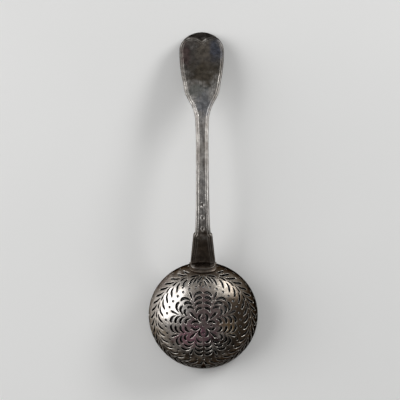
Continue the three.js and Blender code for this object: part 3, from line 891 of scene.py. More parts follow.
@dataclass
class DropPlate:
    """The round-ended plate soldered on the bowl's back, under the handle's tongue."""

    shape: BowlShape = field(default_factory=BowlShape)
    tip_arc: float = 32.4
    round_length: float = 5.2
    half_width: float = 8.1
    end_share: float = 0.06
    lip_margin: float = 0.8
    solder: float = 0.02
    thickness: float = 1.05
    edge_round: float = 0.5
    level_share: float = 0.5
    crease_degrees: float = 60.0
    rows: int = 57
    columns: int = 49

    def build(self) -> bpy.types.Object:
        """Lays an outer and an inner skin on the bowl's back and joins them round the edge.

        Returns:
            The plate's object.
        """
        base = self.shape.lip_arc() - self.lip_margin
        share = (1 - np.cos(np.linspace(0, math.pi, self.rows))) / 2
        arc = np.repeat((base + (self.tip_arc - base) * share)[:, None], self.columns, axis=1)
        into = np.clip(self.tip_arc + self.round_length - arc, 0, None) / self.round_length
        half = self.half_width * np.sqrt(np.clip(1 - into**2, self.end_share**2, 1))
        side = half * np.sin(np.linspace(-1, 1, self.columns) * math.pi / 2)
        angle = side / self.shape.reach(arc)
        lift = self.solder + self.thickness - self.sunk(side, into, base - arc)
        outer = self.shape.place(arc, angle, lift)
        inner = self.shape.place(arc, angle, self.solder)
        verts = np.vstack([outer.reshape(-1, 3), inner.reshape(-1, 3)])

        number = np.arange(arc.size).reshape(arc.shape)
        corners = (number[:-1, :-1], number[1:, :-1], number[1:, 1:], number[:-1, 1:])
        quads = np.stack([corner.ravel() for corner in corners], axis=1)
        rim = np.concatenate([number[0, :-1], number[:-1, -1], number[-1, :0:-1], number[:0:-1, 0]])
        after = np.roll(rim, -1)
        wall = np.stack([rim, after, after + arc.size, rim + arc.size], axis=1)
        faces = np.vstack([quads, quads[:, ::-1] + arc.size, wall])
        obj = make_object("drop_plate_dressed", verts, [tuple(face) for face in faces.tolist()])
        deselect_all()
        obj.select_set(True)
        bpy.context.view_layer.objects.active = obj
        bpy.ops.object.shade_smooth_by_angle(angle=math.radians(self.crease_degrees))
        return obj

    def sunk(self, side: np.ndarray, into: np.ndarray, from_base: np.ndarray) -> np.ndarray:
        """How far the outer skin sinks in a quarter round along the edge.

        Args:
            side: Distances from the middle line.
            into: Shares of the round end's length, from 0 where it starts to 1 at its tip.
            from_base: Distances from the plate's straight end.

        Returns:
            The sinking.
        """
        share = np.hypot(side / self.half_width, into)
        out = np.hypot(side, into * self.round_length)
        to_edge = out * (1 / np.maximum(share, self.level_share) - 1)
        room = np.where(share < self.level_share, self.edge_round, to_edge)
        left = np.clip(self.edge_round - np.minimum(room, from_base), 0, self.edge_round)
        return self.edge_round - np.sqrt(self.edge_round**2 - left**2)


# The handle's arch: shares of its length, and the underside's height there in shares of the arch.
ARCH_SHARES = (0.24, 0.33, 0.43, 0.54, 0.65, 0.76, 0.86, 0.93, 0.965, 1.0)
ARCH_HEIGHT_SHARES = (0.975, 1.0, 0.965, 0.87, 0.73, 0.56, 0.375, 0.225, 0.135, 0.0)
# Half the width of the shank and the stem, at runs from the bowl's back lip.
STEM_RUNS = (-5, 1, 5, 10.3, 15.0, 17.4, 18.0, 18.6, 26, 40, 71)
STEM_HALVES = (7.4, 7.35, 7.0, 6.4, 5.85, 5.55, 4.9, 4.6, 4.1, 3.78, 3.6)
# The blade: shares of the handle's length, and how far it has swelled there from stem to blade.
BLADE_SHARES = (
    *(0.51, 0.571, 0.597, 0.623, 0.65, 0.667, 0.681, 0.694, 0.708, 0.721),
    *(0.735, 0.75, 0.777, 0.804, 0.831, 0.858, 0.885, 0.913, 1.0),
)
BLADE_SWELL_SHARES = (
    *(0, 0.02, 0.032, 0.062, 0.153, 0.245, 0.342, 0.449, 0.551, 0.636),
    *(0.69, 0.735, 0.8, 0.878, 0.929, 0.969, 0.993, 1.0, 1.0),
)
# The forging's thickness, at runs from the bowl's back lip.
THICKNESS_RUNS = (-5, 16.9, 18.5, 48, 84, 105, 127, 140.3)
THICKNESSES = (4.6, 3.9, 3.5, 2.7, 2.2, 1.9, 1.75, 1.1)
# Half of the bracket that closes the outer thread, as side and run, from the edge to the cusp.
BRACKET = (
    *((12.15, 132.1), (11.2, 133.65), (9.4, 134.9), (7.2, 135.6)),
    *((4.6, 135.65), (2.7, 135.1), (1.2, 134.2), (0.0, 133.1)),
)
# The tongue on the bowl's back: arcs and offsets of its top and its underside.
TONGUE_TOP = ((34.7, 1.35), (35.4, 1.95), (36.8, 2.15), (38.4, 2.35))
TONGUE_UNDER = ((34.7, 0.9), (35.4, 0.9), (37.0, 0.8), (39.5, 0.6), (42.5, 0.5))
# The valley over the bowl's lip: distances past the lip and heights, on top and below.
VALLEY_TOP = ((0.33, 19.75), (2.03, 20.15))
VALLEY_UNDER = (0.25, 0.55)
# The shank's first stations: the runs of their tops and of their undersides.
SHANK_TOP_RUNS = (6.2, 8.0)
SHANK_UNDER_RUNS = (4.2, 8.0)
# What the tongue's, the valley's and the shank's stations have besides: half-widths but the last,
# how far they wrap round the bowl, runs, and how strongly they carry the relief.
ROOT_HALVES = (2.4, 4.9, 6.7, 7.35, 7.45, 7.4, 7.0)
ROOT_WRAP_SHARES = (1, 1, 1, 1, 1, 0.8, 0.3, 0)
ROOT_RUNS = (-9, -8, -6.5, -4.5, -2.5, 0.3, 4.5, 8)
ROOT_STRENGTH_SHARES = (0, 0, 0, 0, 0.15, 0.7, 1, 1)
# The stations past the root: start, end and step of each stretch, closest where the form is fine.
BODY_STRETCHES = (
    *((8.0, 17.0, 0.4), (17.0, 19.0, 0.1), (19.0, 37.5, 0.2)),
    *((37.5, 79.0, 0.9), (79.0, 127.0, 0.5), (127.0, 136.7, 0.12)),
)
# How far in from the edge the columns of points lie, over the threads.
EDGE_INSETS = (
    *(0, 0.05, 0.12, 0.2, 0.3, 0.42, 0.54, 0.66, 0.78, 0.88, 0.97, 1.04),
    *(1.1, 1.18, 1.28, 1.4, 1.52, 1.66, 1.8, 1.94, 2.06, 2.2, 2.45, 2.8),
)


@dataclass(frozen=True)
class Thread:
    """One raised thread: how far in from the outer thread's line it lies, and its size."""

    at: float
    half: float
    height: float

    def ridge(self, inwards: np.ndarray) -> np.ndarray:
        """Its round-topped ridge at distances inwards from the outer thread's line."""
        return self.height * np.sqrt(dome(inwards, self.at, self.half))


@dataclass(frozen=True)
class WornRing:
    """A worn ring on the stem: its run, its reach and its depth.

    oval says how the ring is drawn out across and along the stem.
    """

    run: float
    reach: float
    depth: float
    oval: Pair = (0.95, 1.3)
    line_share: float = 0.8
    line_spread: float = 0.24
    line_left: float = 0.6
    dish: float = 1.35
    end_share: float = 1.4
    raised_share: float = 0.9
    grime_levels: Pair = (0.85, 0.3)
    waves: Pair = (2.3, 2.1)
    fine_waves: Triple = (4.3, 3.9, 0.4)

    def laid(self, side: np.ndarray, run: np.ndarray) -> tuple[np.ndarray, np.ndarray, np.ndarray]:
        """Lays the ring out, raised and dished by parts as wear has left it.

        Args:
            side: Distances from the handle's middle line.
            run: The runs of the same points.

        Returns:
            The raised line and the dished middle, from 0 to about 1, and the wear from -1.4 to 1.4.
        """
        rho = np.hypot(side / (self.reach * self.oval[0]), (run - self.run) / (self.reach * self.oval[1]))
        across, along = self.waves
        worn = np.sin(side * across + self.run) * np.sin(run * along + self.run * 2)
        across, along, share = self.fine_waves
        worn = worn + share * np.sin(side * across + run * along)
        raised = bell(rho, self.line_share, self.line_spread) * (rho < self.end_share)
        raised = raised * np.clip(self.line_left + self.line_left * worn, 0, 1)
        dished = np.clip(self.dish * (1 - rho / self.line_share), 0, 1)
        return raised, dished, worn


@dataclass
class ThreadedHandle:
    """The forged handle: tongue, shank, stem and fiddle blade with a double thread round its edges.

    A run is measured in plan from the bowl's back lip.
    """

    shape: BowlShape = field(default_factory=BowlShape)
    length: float = 140.3
    lip_y: float = -37.714
    lip_z: float = 13.28
    root_lift: float = 0.5
    root_run: float = -5.0
    arch: float = 27.0
    shoulder: float = 17.8
    shoulder_rise: float = 9.6
    half_rise_share: float = 0.54
    overrun: float = 15.0
    fine_step: float = 0.25
    smear: float = 2.2
    smear_steps: int = 30
    blade_half: float = 13.4
    stem_half: float = 3.6
    least_half: float = 0.15
    end_length: float = 12.2
    bracket_run: float = 130.7
    thread_start: float = -6.0
    thread_samples: int = 700
    bracket_samples: int = 90
    far: float = 9.0
    window: float = 6.0
    block: int = 4000
    bead: float = 0.5
    first_thread: Thread = Thread(0.0, 0.52, 0.3)
    second_thread: Thread = Thread(1.18, 0.38, 0.2)
    third_thread: Thread = Thread(2.35, 0.34, 0.17)
    rings: tuple[WornRing, ...] = (
        WornRing(21.0, 1.25, 0.2),
        WornRing(27.3, 1.35, 0.16),
        WornRing(34.7, 1.5, 0.2),
    )
    ring_margin: float = 0.2
    shank_margin: float = 0.4
    shank_fade: float = 1.5
    crown: float = 0.22
    edge_fall: float = 0.3
    groove: float = 0.1
    groove_span: Pair = (1.0, 1.1)
    valleys: tuple[Pair, Pair] = ((0.66, 0.2), (1.66, 0.24))
    inner_grime: float = 0.85
    tip_valley: Pair = (0.75, 0.4)
    first_rub: Pair = (-0.05, 0.42)
    fine_rub: Pair = (0.8, 0.3)
    shank_dulling: float = 0.5
    tip_sink: float = 0.34
    tip_sink_span: Pair = (0.2, 0.7)
    tip_sink_power: float = 0.8
    tip_roll: float = 0.55
    tip_roll_reach: float = 12.5
    root_stations_count: int = 64
    body_end: float = 136.7
    end_stations: int = 22
    field_columns: int = 22
    full_half: float = 3.3
    tongue_edge: float = 0.4
    rubbed_stations: int = 3
    under_share: float = 0.9
    least_metal: float = 0.3
    wall_shares: Triple = (0.25, 0.5, 0.75)
    wall_bulge: float = 0.13
    wall_polish: float = 0.5
    wrap_clear: float = 1.5

    def underside(self, run: np.ndarray) -> tuple[np.ndarray, np.ndarray, np.ndarray]:
        """Follows the handle's underside in the middle plane.

        Args:
            run: The runs.

        Returns:
            The height at each run, and the two parts of the upward normal there.
        """
        root = self.lip_z + self.root_lift
        slope = self.shoulder_rise / self.shoulder
        knots = [self.root_run, 0.0, self.shoulder / 2, self.shoulder]
        knots += [self.length * share for share in ARCH_SHARES]
        heights = [root + self.root_run * slope, root]
        heights += [root + self.shoulder_rise * self.half_rise_share, root + self.shoulder_rise]
        heights += [self.arch * share for share in ARCH_HEIGHT_SHARES]
        fine = np.arange(-self.overrun, self.length + self.overrun, self.fine_step)
        z = smooth_curve(knots, heights, fine)
        z = np.where(fine < self.root_run, heights[0] + (fine - self.root_run) * slope, z)
        end_slope = (heights[-1] - heights[-2]) / (knots[-1] - knots[-2])
        z = np.where(fine > self.length, heights[-1] + (fine - self.length) * end_slope, z)
        reach = np.arange(-self.smear_steps, self.smear_steps + 1) * self.fine_step
        weight = np.exp(-((reach / self.smear) ** 2) / 2)
        padded = np.pad(z, self.smear_steps, mode="edge")
        z = np.convolve(padded, weight / weight.sum(), mode="valid")
        grade = np.interp(run, fine, np.gradient(z, fine))
        size = np.hypot(1, grade)
        return np.interp(run, fine, z), -grade / size, 1 / size

    def into_end(self, run: np.ndarray) -> np.ndarray:
        """The share of the blade's rounded end that lies before a run."""
        return np.clip(run - (self.length - self.end_length), 0, None) / self.end_length

    def half_width(self, run: np.ndarray) -> np.ndarray:
        """Finds half the handle's width, which closes in an ellipse at the blade's end.

        Args:
            run: The runs.

        Returns:
            The half-width at each run.
        """
        run = np.asarray(run, float)
        swell = (self.blade_half - self.stem_half) * np.array(BLADE_SWELL_SHARES)
        blade = smooth_curve(np.array(BLADE_SHARES) * self.length, self.stem_half + swell, run)
        width = np.where(run < STEM_RUNS[-1], smooth_curve(STEM_RUNS, STEM_HALVES, run), blade)
        return np.maximum(width * np.sqrt(np.clip(1 - self.into_end(run) ** 2, 0, 1)), self.least_half)

    def thickness(self, run: np.ndarray) -> np.ndarray:
        """The forging's thickness at a run."""
        return smooth_curve(THICKNESS_RUNS, THICKNESSES, run)

    def thread_path(self) -> np.ndarray:
        """Follows half of the outer thread's line, from the root to the bracket's cusp.

        Returns:
            Rows of side and run.
        """
        runs = np.linspace(self.thread_start, self.bracket_run, self.thread_samples)
        side = self.half_width(runs) - self.bead
        bracket = smooth_path([(side[-1], self.bracket_run), *BRACKET], self.bracket_samples)
        return np.vstack([np.stack([side, runs], axis=1), bracket[1:]])

    def thread_field(self, side: np.ndarray, run: np.ndarray) -> np.ndarray:
        """Measures the distance inwards from the outer thread's line; negative outside it.

        Args:
            side: Distances from the handle's middle line.
            run: The runs of the same points.

        Returns:
            The signed distances.
        """
        path = self.thread_path()
        start, along = path[:-1], np.diff(path, axis=0)
        length2 = np.sum(along**2, axis=1)
        points = np.stack([np.abs(side), run], axis=-1).reshape(-1, 2)
        best = np.full(len(points), self.far)
        for first in range(0, len(points), self.block):
            block = points[first : first + self.block]
            lowest, highest = block[:, 1].min() - self.window, block[:, 1].max() + self.window
            near = (start[:, 1] > lowest) & (start[:, 1] < highest)
            away = block[:, None, :] - start[None, near, :]
            share = np.clip(np.sum(away * along[near], axis=2) / length2[near], 0, 1)
            gap = np.linalg.norm(away - share[..., None] * along[near], axis=2)
            best[first : first + self.block] = np.minimum(gap.min(axis=1), self.far)
        bracket = path[self.thread_samples :][::-1]
        limit = np.interp(points[:, 0], bracket[:, 0], bracket[:, 1], right=self.bracket_run)
        inside = (points[:, 0] < self.half_width(points[:, 1]) - self.bead) & (points[:, 1] < limit)
        return np.where(inside, best, -best).reshape(np.shape(side))

    def relief(self, side: np.ndarray, run: np.ndarray) -> tuple[np.ndarray, np.ndarray, np.ndarray]:
        """Raises the threads and sinks the tip over the plain forging.

        Args:
            side: Distances from the handle's middle line.
            run: The runs of the same points.

        Returns:
            The relief, and the grime and the polish from 0 to 1.
        """
        inwards = self.thread_field(side, run)
        outside = inwards < 0
        at_tip = outside & (run > self.bracket_run)
        on_shank = np.clip((self.shoulder - self.shank_margin - run) / self.shank_fade, 0, 1)

        first = self.first_thread.ridge(inwards)
        ridges = np.maximum(first, self.second_thread.ridge(inwards))
        ridges = np.maximum(ridges, self.third_thread.ridge(inwards) * on_shank)
        relief = -self.groove * bell(inwards, *self.groove_span) + np.where(outside, first, ridges)
        relief = relief + self.crown * dome(side, 0, self.half_width(run))
        relief = relief + np.where(at_tip, self.tip_relief(side, run, -inwards), 0)
        fall = self.edge_fall * np.clip(-inwards / self.bead, 0, 1) ** 2
        relief = np.where(outside & ~at_tip, relief - fall, relief)

        valley, inner_valley = (bell(inwards, at, spread) for at, spread in self.valleys)
        grime = np.clip(valley + inner_valley * self.inner_grime, 0, 1)
        grime = np.where(at_tip, bell(-inwards, *self.tip_valley), grime)
        share, half = self.fine_rub
        polish = dome(inwards, *self.first_rub) + share * dome(inwards, self.second_thread.at, half)
        polish = polish + share * dome(inwards, self.third_thread.at, half) * on_shank
        polish = polish * (1 - self.shank_dulling * on_shank)
        for ring in self.rings:
            raised, dished, worn = ring.laid(side, run)
            shift = ring.depth * ring.raised_share * raised - ring.depth * dished
            relief = relief + shift * (inwards > self.ring_margin)
            most, less = ring.grime_levels
            grime = np.maximum(grime, dished * np.clip(most - less * worn, 0, 1))
            polish = np.maximum(polish, raised)
        return relief, grime, polish

    def tip_relief(self, side: np.ndarray, run: np.ndarray, outwards: np.ndarray) -> np.ndarray:
        """Sinks the blade's tip behind the bracket and rolls its edge over.

        Args:
            side: Distances from the handle's middle line.
            run: The runs of the same points.
            outwards: Their distances outwards from the outer thread's line.

        Returns:
            The relief there, below zero.
        """
        start, span = self.tip_sink_span
        sink = -self.tip_sink * np.clip((outwards - start) / span, 0, 1) ** self.tip_sink_power
        share = np.sqrt((side / self.blade_half) ** 2 + self.into_end(run) ** 2)
        edge = np.clip(1 - (1 - share) * self.tip_roll_reach, 0, 1)
        return sink - self.tip_roll * (1 - np.sqrt(np.clip(1 - edge**2, 0, 1)))

    def on_back(self, arc: float, offset: float) -> Pair:
        """A point over the bowl's back in the middle plane, as y and z."""
        place = self.shape.place(np.array([arc]), np.array([0.0]), offset)[0] / MM
        return float(place[1]), float(place[2])

    def on_shank(self, run: float, share: float) -> Pair:
        """Finds a point between the shank's underside and its top.

        Args:
            run: The underside's run.
            share: The share of the thickness.

        Returns:
            The point's y and z in the middle plane.
        """
        z, ny, nz = self.underside(np.array([run]))
        up = float(self.thickness(np.array([run]))[0]) * share
        return self.lip_y + run + float(ny[0]) * up, float(z[0]) + float(nz[0]) * up

    def root_stations(self) -> dict[str, np.ndarray]:
        """Lays out the tongue on the bowl's back, the valley above the lip and the shank's start.

        Returns:
            What each station has, by the names that stations() gives.
        """
        top = [self.on_back(*point) for point in TONGUE_TOP]
        top += [(self.lip_y + past, height) for past, height in VALLEY_TOP]
        top += [self.on_shank(run, 1.0) for run in SHANK_TOP_RUNS]
        under = [self.on_back(*point) for point in TONGUE_UNDER]
        under += [(self.lip_y + VALLEY_UNDER[0], self.lip_z + VALLEY_UNDER[1])]
        under += [self.on_shank(run, 0.0) for run in SHANK_UNDER_RUNS]
        half = (*ROOT_HALVES, float(self.half_width(np.array([ROOT_RUNS[-1]]))[0]))
        known = np.arange(len(top), dtype=float)
        at = np.linspace(0, len(top) - 1, self.root_stations_count)[:-1]

        def eased(values: np.ndarray) -> np.ndarray:
            """The stations' values between the known ones."""
            return smooth_curve(known, values, at)

        return {
            "outer": np.stack([eased(column) for column in np.array(top).T], axis=1),
            "inner": np.stack([eased(column) for column in np.array(under).T], axis=1),
            "half": eased(half),
            "wrap": eased(ROOT_WRAP_SHARES),
            "run": eased(ROOT_RUNS),
            "strength": eased(ROOT_STRENGTH_SHARES),
        }

    def body_runs(self) -> np.ndarray:
        """Spaces the stations past the root, closest where the form is fine.

        Returns:
            The runs of the stations.
        """
        last = np.sin(np.linspace(0, math.pi / 2, self.end_stations))
        stretches = [np.arange(*stretch) for stretch in BODY_STRETCHES]
        return np.concatenate([*stretches, self.body_end + (self.length - self.body_end) * last])

    def stations(self) -> dict[str, np.ndarray]:
        """Lays out every station of the loft.

        Returns:
            By name, a row per station: the outer and the inner point in the middle plane, half the
            width, how far it wraps round the bowl, its run and how strongly it carries the relief.
        """
        root = self.root_stations()
        run = self.body_runs()
        z, ny, nz = self.underside(run)
        inner = np.stack([self.lip_y + run, z], axis=1)
        body = {
            "outer": inner + np.stack([ny, nz], axis=1) * self.thickness(run)[:, None],
            "inner": inner,
            "half": self.half_width(run),
            "wrap": np.zeros(len(run)),
            "run": run,
            "strength": np.ones(len(run)),
        }
        return {name: np.concatenate([root[name], body[name]]) for name in body}

    def build(self) -> bpy.types.Object:
        """Lofts the handle through its stations and stores where grime and polish lie.

        Returns:
            The handle's object.
        """
        s = self.stations()
        half, strength = s["half"][:, None], s["strength"][:, None]
        squeeze = np.minimum(1, half / self.full_half)
        edge_side = half - np.array(EDGE_INSETS)[None, :] * squeeze
        field_shares = np.linspace(1, 0, self.field_columns + 1)[1:]
        right = np.concatenate([edge_side, edge_side[:, -1:] * field_shares[None, :]], axis=1)
        side = np.concatenate([right, -right[:, -2::-1]], axis=1)
        relief, grime, polish = self.relief(side, np.repeat(s["run"][:, None], side.shape[1], axis=1))
        grime = grime * strength
        tongue = np.clip(1 - (half - np.abs(side)) / self.tongue_edge, 0, 1)
        first_ones = np.clip(1 - np.arange(len(half))[:, None] / self.rubbed_stations, 0, 1)
        rubbed = np.maximum(tongue, first_ones) * (1 - strength)
        polish = np.clip(np.maximum(polish * strength, rubbed), 0, 1)

        through = s["outer"] - s["inner"]
        thick = np.linalg.norm(through, axis=1)[:, None]
        through = (through / thick)[:, None, :]
        relief = np.maximum(relief * strength, self.least_metal - thick)
        under = np.maximum(relief * strength * self.under_share, self.least_metal - thick - relief)
        top = s["outer"][:, None, :] + through * relief[..., None]
        low = s["inner"][:, None, :] - through * under[..., None]
        down = np.array(self.wall_shares)
        wall = top[:, :1] * (1 - down)[None, :, None] + low[:, :1] * down[None, :, None]
        wall_side = half + self.wall_bulge * np.sin(down * math.pi)[None, :] * squeeze
        bare = np.zeros_like(wall_side)

        verts = self.wrapped(
            self.around(side, -wall_side, side, wall_side), self.around(top, wall, low, wall), s["wrap"]
        )
        obj = make_object("threaded_handle", verts.reshape(-1, 3), self.loft_faces(*verts.shape[:2]))
        set_attribute(obj, "grime", self.around(grime, bare, grime, bare).ravel())
        worn = bare + self.wall_polish
        set_attribute(obj, "polish", self.around(polish, worn, polish, worn).ravel())
        return obj

    @staticmethod
    def around(top: np.ndarray, left: np.ndarray, low: np.ndarray, right: np.ndarray) -> np.ndarray:
        """Goes once round every station, with the underside and the right wall backwards."""
        return np.concatenate([top, left, low[:, ::-1], right[:, ::-1]], axis=1)

    def wrapped(self, side: np.ndarray, middle: np.ndarray, wrap: np.ndarray) -> np.ndarray:
        """Lays the stations out in the part's frame, the tongue's wrapped round the bowl's back.

        Args:
            side: Each point's distance from the middle line.
            middle: Where each point would lie in the middle plane, as y and z.
            wrap: How far each station wraps, from 0 to 1.

        Returns:
            The points in metres, by station and by place in it.
        """
        reach, wrap = self.shape.radius + self.wrap_clear, wrap[:, None]
        turn = side / reach
        back = -reach * (1 - np.cos(turn)) * wrap
        x = side * (1 - wrap) + reach * np.sin(turn) * wrap
        y = middle[..., 0] + back * math.cos(self.shape.tilt)
        z = middle[..., 1] + back * math.sin(self.shape.tilt)
        return np.stack([x, y, z], axis=-1) * MM

    def loft_faces(self, count: int, around: int) -> list[tuple]:
        """Joins each station to the next and closes the two ends.

        Args:
            count: How many stations there are.
            around: How many points go round each.

        Returns:
            Tuples of vertex numbers.
        """
        faces = []
        for i in range(count - 1):
            a, b = i * around, (i + 1) * around
            for j in range(around):
                after = (j + 1) % around
                faces.append((a + j, b + j, b + after, a + after))
        last = (count - 1) * around
        return faces + self.end_faces(0, around, False) + self.end_faces(last, around, True)

    def end_faces(self, first: int, around: int, last: bool) -> list[tuple]:
        """Closes an end of the loft with strips from its top to its underside.

        Args:
            first: The number of the end station's first vertex.
            around: How many points go round it.
            last: True at the blade's end, and false at the tongue's.

        Returns:
            Tuples of vertex numbers.
        """
        walls = len(self.wall_shares)
        across = around // 2 - walls
        ring = list(range(first, first + around))
        top, left, right = ring[:across], ring[across : across + walls], ring[2 * across + walls :]
        low = ring[across + walls : 2 * across + walls][::-1]
        faces = [(top[j], low[j], low[j + 1], top[j + 1]) for j in range(across - 1)]
        fans = [(low[-1], *left[::-1], top[-1]), (top[0], *right[::-1], low[0])]
        if not last:
            faces = [face[::-1] for face in faces]
            fans = [fan[::-1] for fan in fans]
        return faces + fans


class NodeBench:
    """Lays out the nodes of one material. Places are read in millimetres of the part's frame."""

    def __init__(self, name: str) -> None:
        """Starts an empty material whose surface is one Principled shader.

        Args:
            name: The material's name.
        """
        self.material = bpy.data.materials.new(name)
        self.material.use_nodes = True
        self.tree = self.material.node_tree
        self.shader = self.tree.nodes["Principled BSDF"]
        place = self.tree.nodes.new("ShaderNodeTexCoord")
        self.place = self.scaled(place.outputs["Object"], (1 / MM, 1 / MM, 1 / MM))

    def scaled(self, vector: Socket, scale: Triple, turn: float = 0.0, shift: Triple = (0, 0, 0)) -> Socket:
        """Moves a place, turns it about Z and stretches it.

        Args:
            vector: The place.
            scale: The stretch along each axis.
            turn: The turn in radians.
            shift: The move.

        Returns:
            The new place.
        """
        node = self.tree.nodes.new("ShaderNodeMapping")
        node.inputs["Scale"].default_value = scale
        node.inputs["Rotation"].default_value = (0, 0, turn)
        node.inputs["Location"].default_value = shift
        self.tree.links.new(vector, node.inputs["Vector"])
        return node.outputs["Vector"]

    def noise(
        self, scale: float, detail: float, vector: Optional[Socket] = None, warp: float = 0.0
    ) -> Socket:
        """Adds a noise.

        Args:
            scale: Its waves per millimetre.
            detail: How many finer waves ride on them.
            vector: The place that it is read at, if not the part's own.
            warp: How much it is warped.

        Returns:
            Its value about 0.5.
        """
        node = self.tree.nodes.new("ShaderNodeTexNoise")
        node.inputs["Scale"].default_value = scale
        node.inputs["Detail"].default_value = detail
        node.inputs["Distortion"].default_value = warp
        self.tree.links.new(vector or self.place, node.inputs["Vector"])
        return node.outputs["Fac"]

    def between(self, value: Socket, low: float, high: float, to: Pair = (0.0, 1.0)) -> Socket:
        """Takes a value smoothly from one span to another and holds it at their ends.

        Args:
            value: The value.
            low: The first span's start.
            high: Its end.
            to: The second span.

        Returns:
            The new value.
        """
        node = self.tree.nodes.new("ShaderNodeMapRange")
        node.interpolation_type = "SMOOTHSTEP"
        for name, number in zip(("From Min", "From Max", "To Min", "To Max"), (low, high, *to)):
            node.inputs[name].default_value = number
        self.tree.links.new(value, node.inputs["Value"])
        return node.outputs["Result"]

    def sum(self, operation: str, *values: Level) -> Socket:
        """Adds one step of arithmetic.

        Args:
            operation: The step's name.
            values: Its numbers or sockets.

        Returns:
            The result.
        """
        node = self.tree.nodes.new("ShaderNodeMath")
        node.operation = operation
        for socket, value in zip(node.inputs, values):
            if isinstance(value, (int, float)):
                socket.default_value = value
            else:
                self.tree.links.new(value, socket)
        return node.outputs["Value"]

    def blend(self, share: Level, first: Union[Socket, Triple], second: Union[Socket, Triple]) -> Socket:
        """Mixes two colours.

        Args:
            share: The second colour's share.
            first: The first colour.
            second: The second colour.

        Returns:
            The mixed colour.
        """
        node = self.tree.nodes.new("ShaderNodeMix")
        node.data_type = "RGBA"
        for name, value in (("Factor_Float", share), ("A_Color", first), ("B_Color", second)):
            socket = next(s for s in node.inputs if s.identifier == name)
            if isinstance(value, tuple):
                socket.default_value = (*value, 1)
            else:
                self.tree.links.new(value, socket)
        return next(s for s in node.outputs if s.identifier == "Result_Color")

    def scaled_colour(self, colour: Socket, factor: Socket) -> Socket:
        """Multiplies a colour by a number.

        Args:
            colour: The colour.
            factor: The number.

        Returns:
            The new colour.
        """
        node = self.tree.nodes.new("ShaderNodeVectorMath")
        node.operation = "SCALE"
        self.tree.links.new(colour, node.inputs["Vector"])
        self.tree.links.new(factor, node.inputs["Scale"])
        return node.outputs["Vector"]

    def stored(self, name: str) -> Socket:
        """Reads a number stored on the mesh.

        Args:
            name: The attribute's name.

        Returns:
            The number.
        """
        node = self.tree.nodes.new("ShaderNodeAttribute")
        node.attribute_name = name
        return node.outputs["Fac"]

    def along(self, direction: Triple) -> Socket:
        """Measures how far each place lies along a direction.

        Args:
            direction: The direction, with its length as the scale.

        Returns:
            The distance in the direction's own units per millimetre.
        """
        node = self.tree.nodes.new("ShaderNodeVectorMath")
        node.operation = "DOT_PRODUCT"
        node.inputs[1].default_value = direction
        self.tree.links.new(self.place, node.inputs[0])
        return node.outputs["Value"]

    def away(self, place: Socket) -> Socket:
        """Measures how far a moved place lies from its own zero.

        Args:
            place: The place.

        Returns:
            The distance.
        """
        node = self.tree.nodes.new("ShaderNodeVectorMath")
        node.operation = "LENGTH"
        self.tree.links.new(place, node.inputs[0])
        return node.outputs["Value"]

    def bump(self, height: Socket, size: float, strength: float, under: Optional[Socket] = None) -> Socket:
        """Adds a bump.

        Args:
            height: Its height from 0 to 1.
            size: Its full height in millimetres.
            strength: How strongly it shows.
            under: The bump that it lies on, if any.

        Returns:
            The normal.
        """
        node = self.tree.nodes.new("ShaderNodeBump")
        node.inputs["Strength"].default_value = strength
        node.inputs["Distance"].default_value = size * MM
        self.tree.links.new(height, node.inputs["Height"])
        if under is not None:
            self.tree.links.new(under, node.inputs["Normal"])
        return node.outputs["Normal"]


@dataclass(frozen=True)
class Patch:
    """A cloudy patch of colour, for tarnish and for painted highlights and shade: its middle and reach, its
    colour and its strength.

    rag says how far a cloud breaks its edge up, and edge where it starts and is full, with the rag.
    """

    middle: Triple
    reach: Triple
    colour: Triple
    strength: float
    rag: float = 1.5
    edge: Pair = (1.95, 1.15)

    def share(self, bench: NodeBench, cloud: Socket) -> Socket:
        """Says how much of the patch lies at each place.

        Args:
            bench: The material's bench.
            cloud: A noise about 0.5.

        Returns:
            The share from 0 to the patch's strength.
        """
        scale = tuple(1 / r for r in self.reach)
        shift = tuple(-m / r for m, r in zip(self.middle, self.reach))
        away = bench.away(bench.scaled(bench.place, scale, shift=shift))
        ragged = bench.sum("ADD", away, bench.sum("MULTIPLY", cloud, self.rag))
        return bench.between(ragged, *self.edge, (0.0, self.strength))


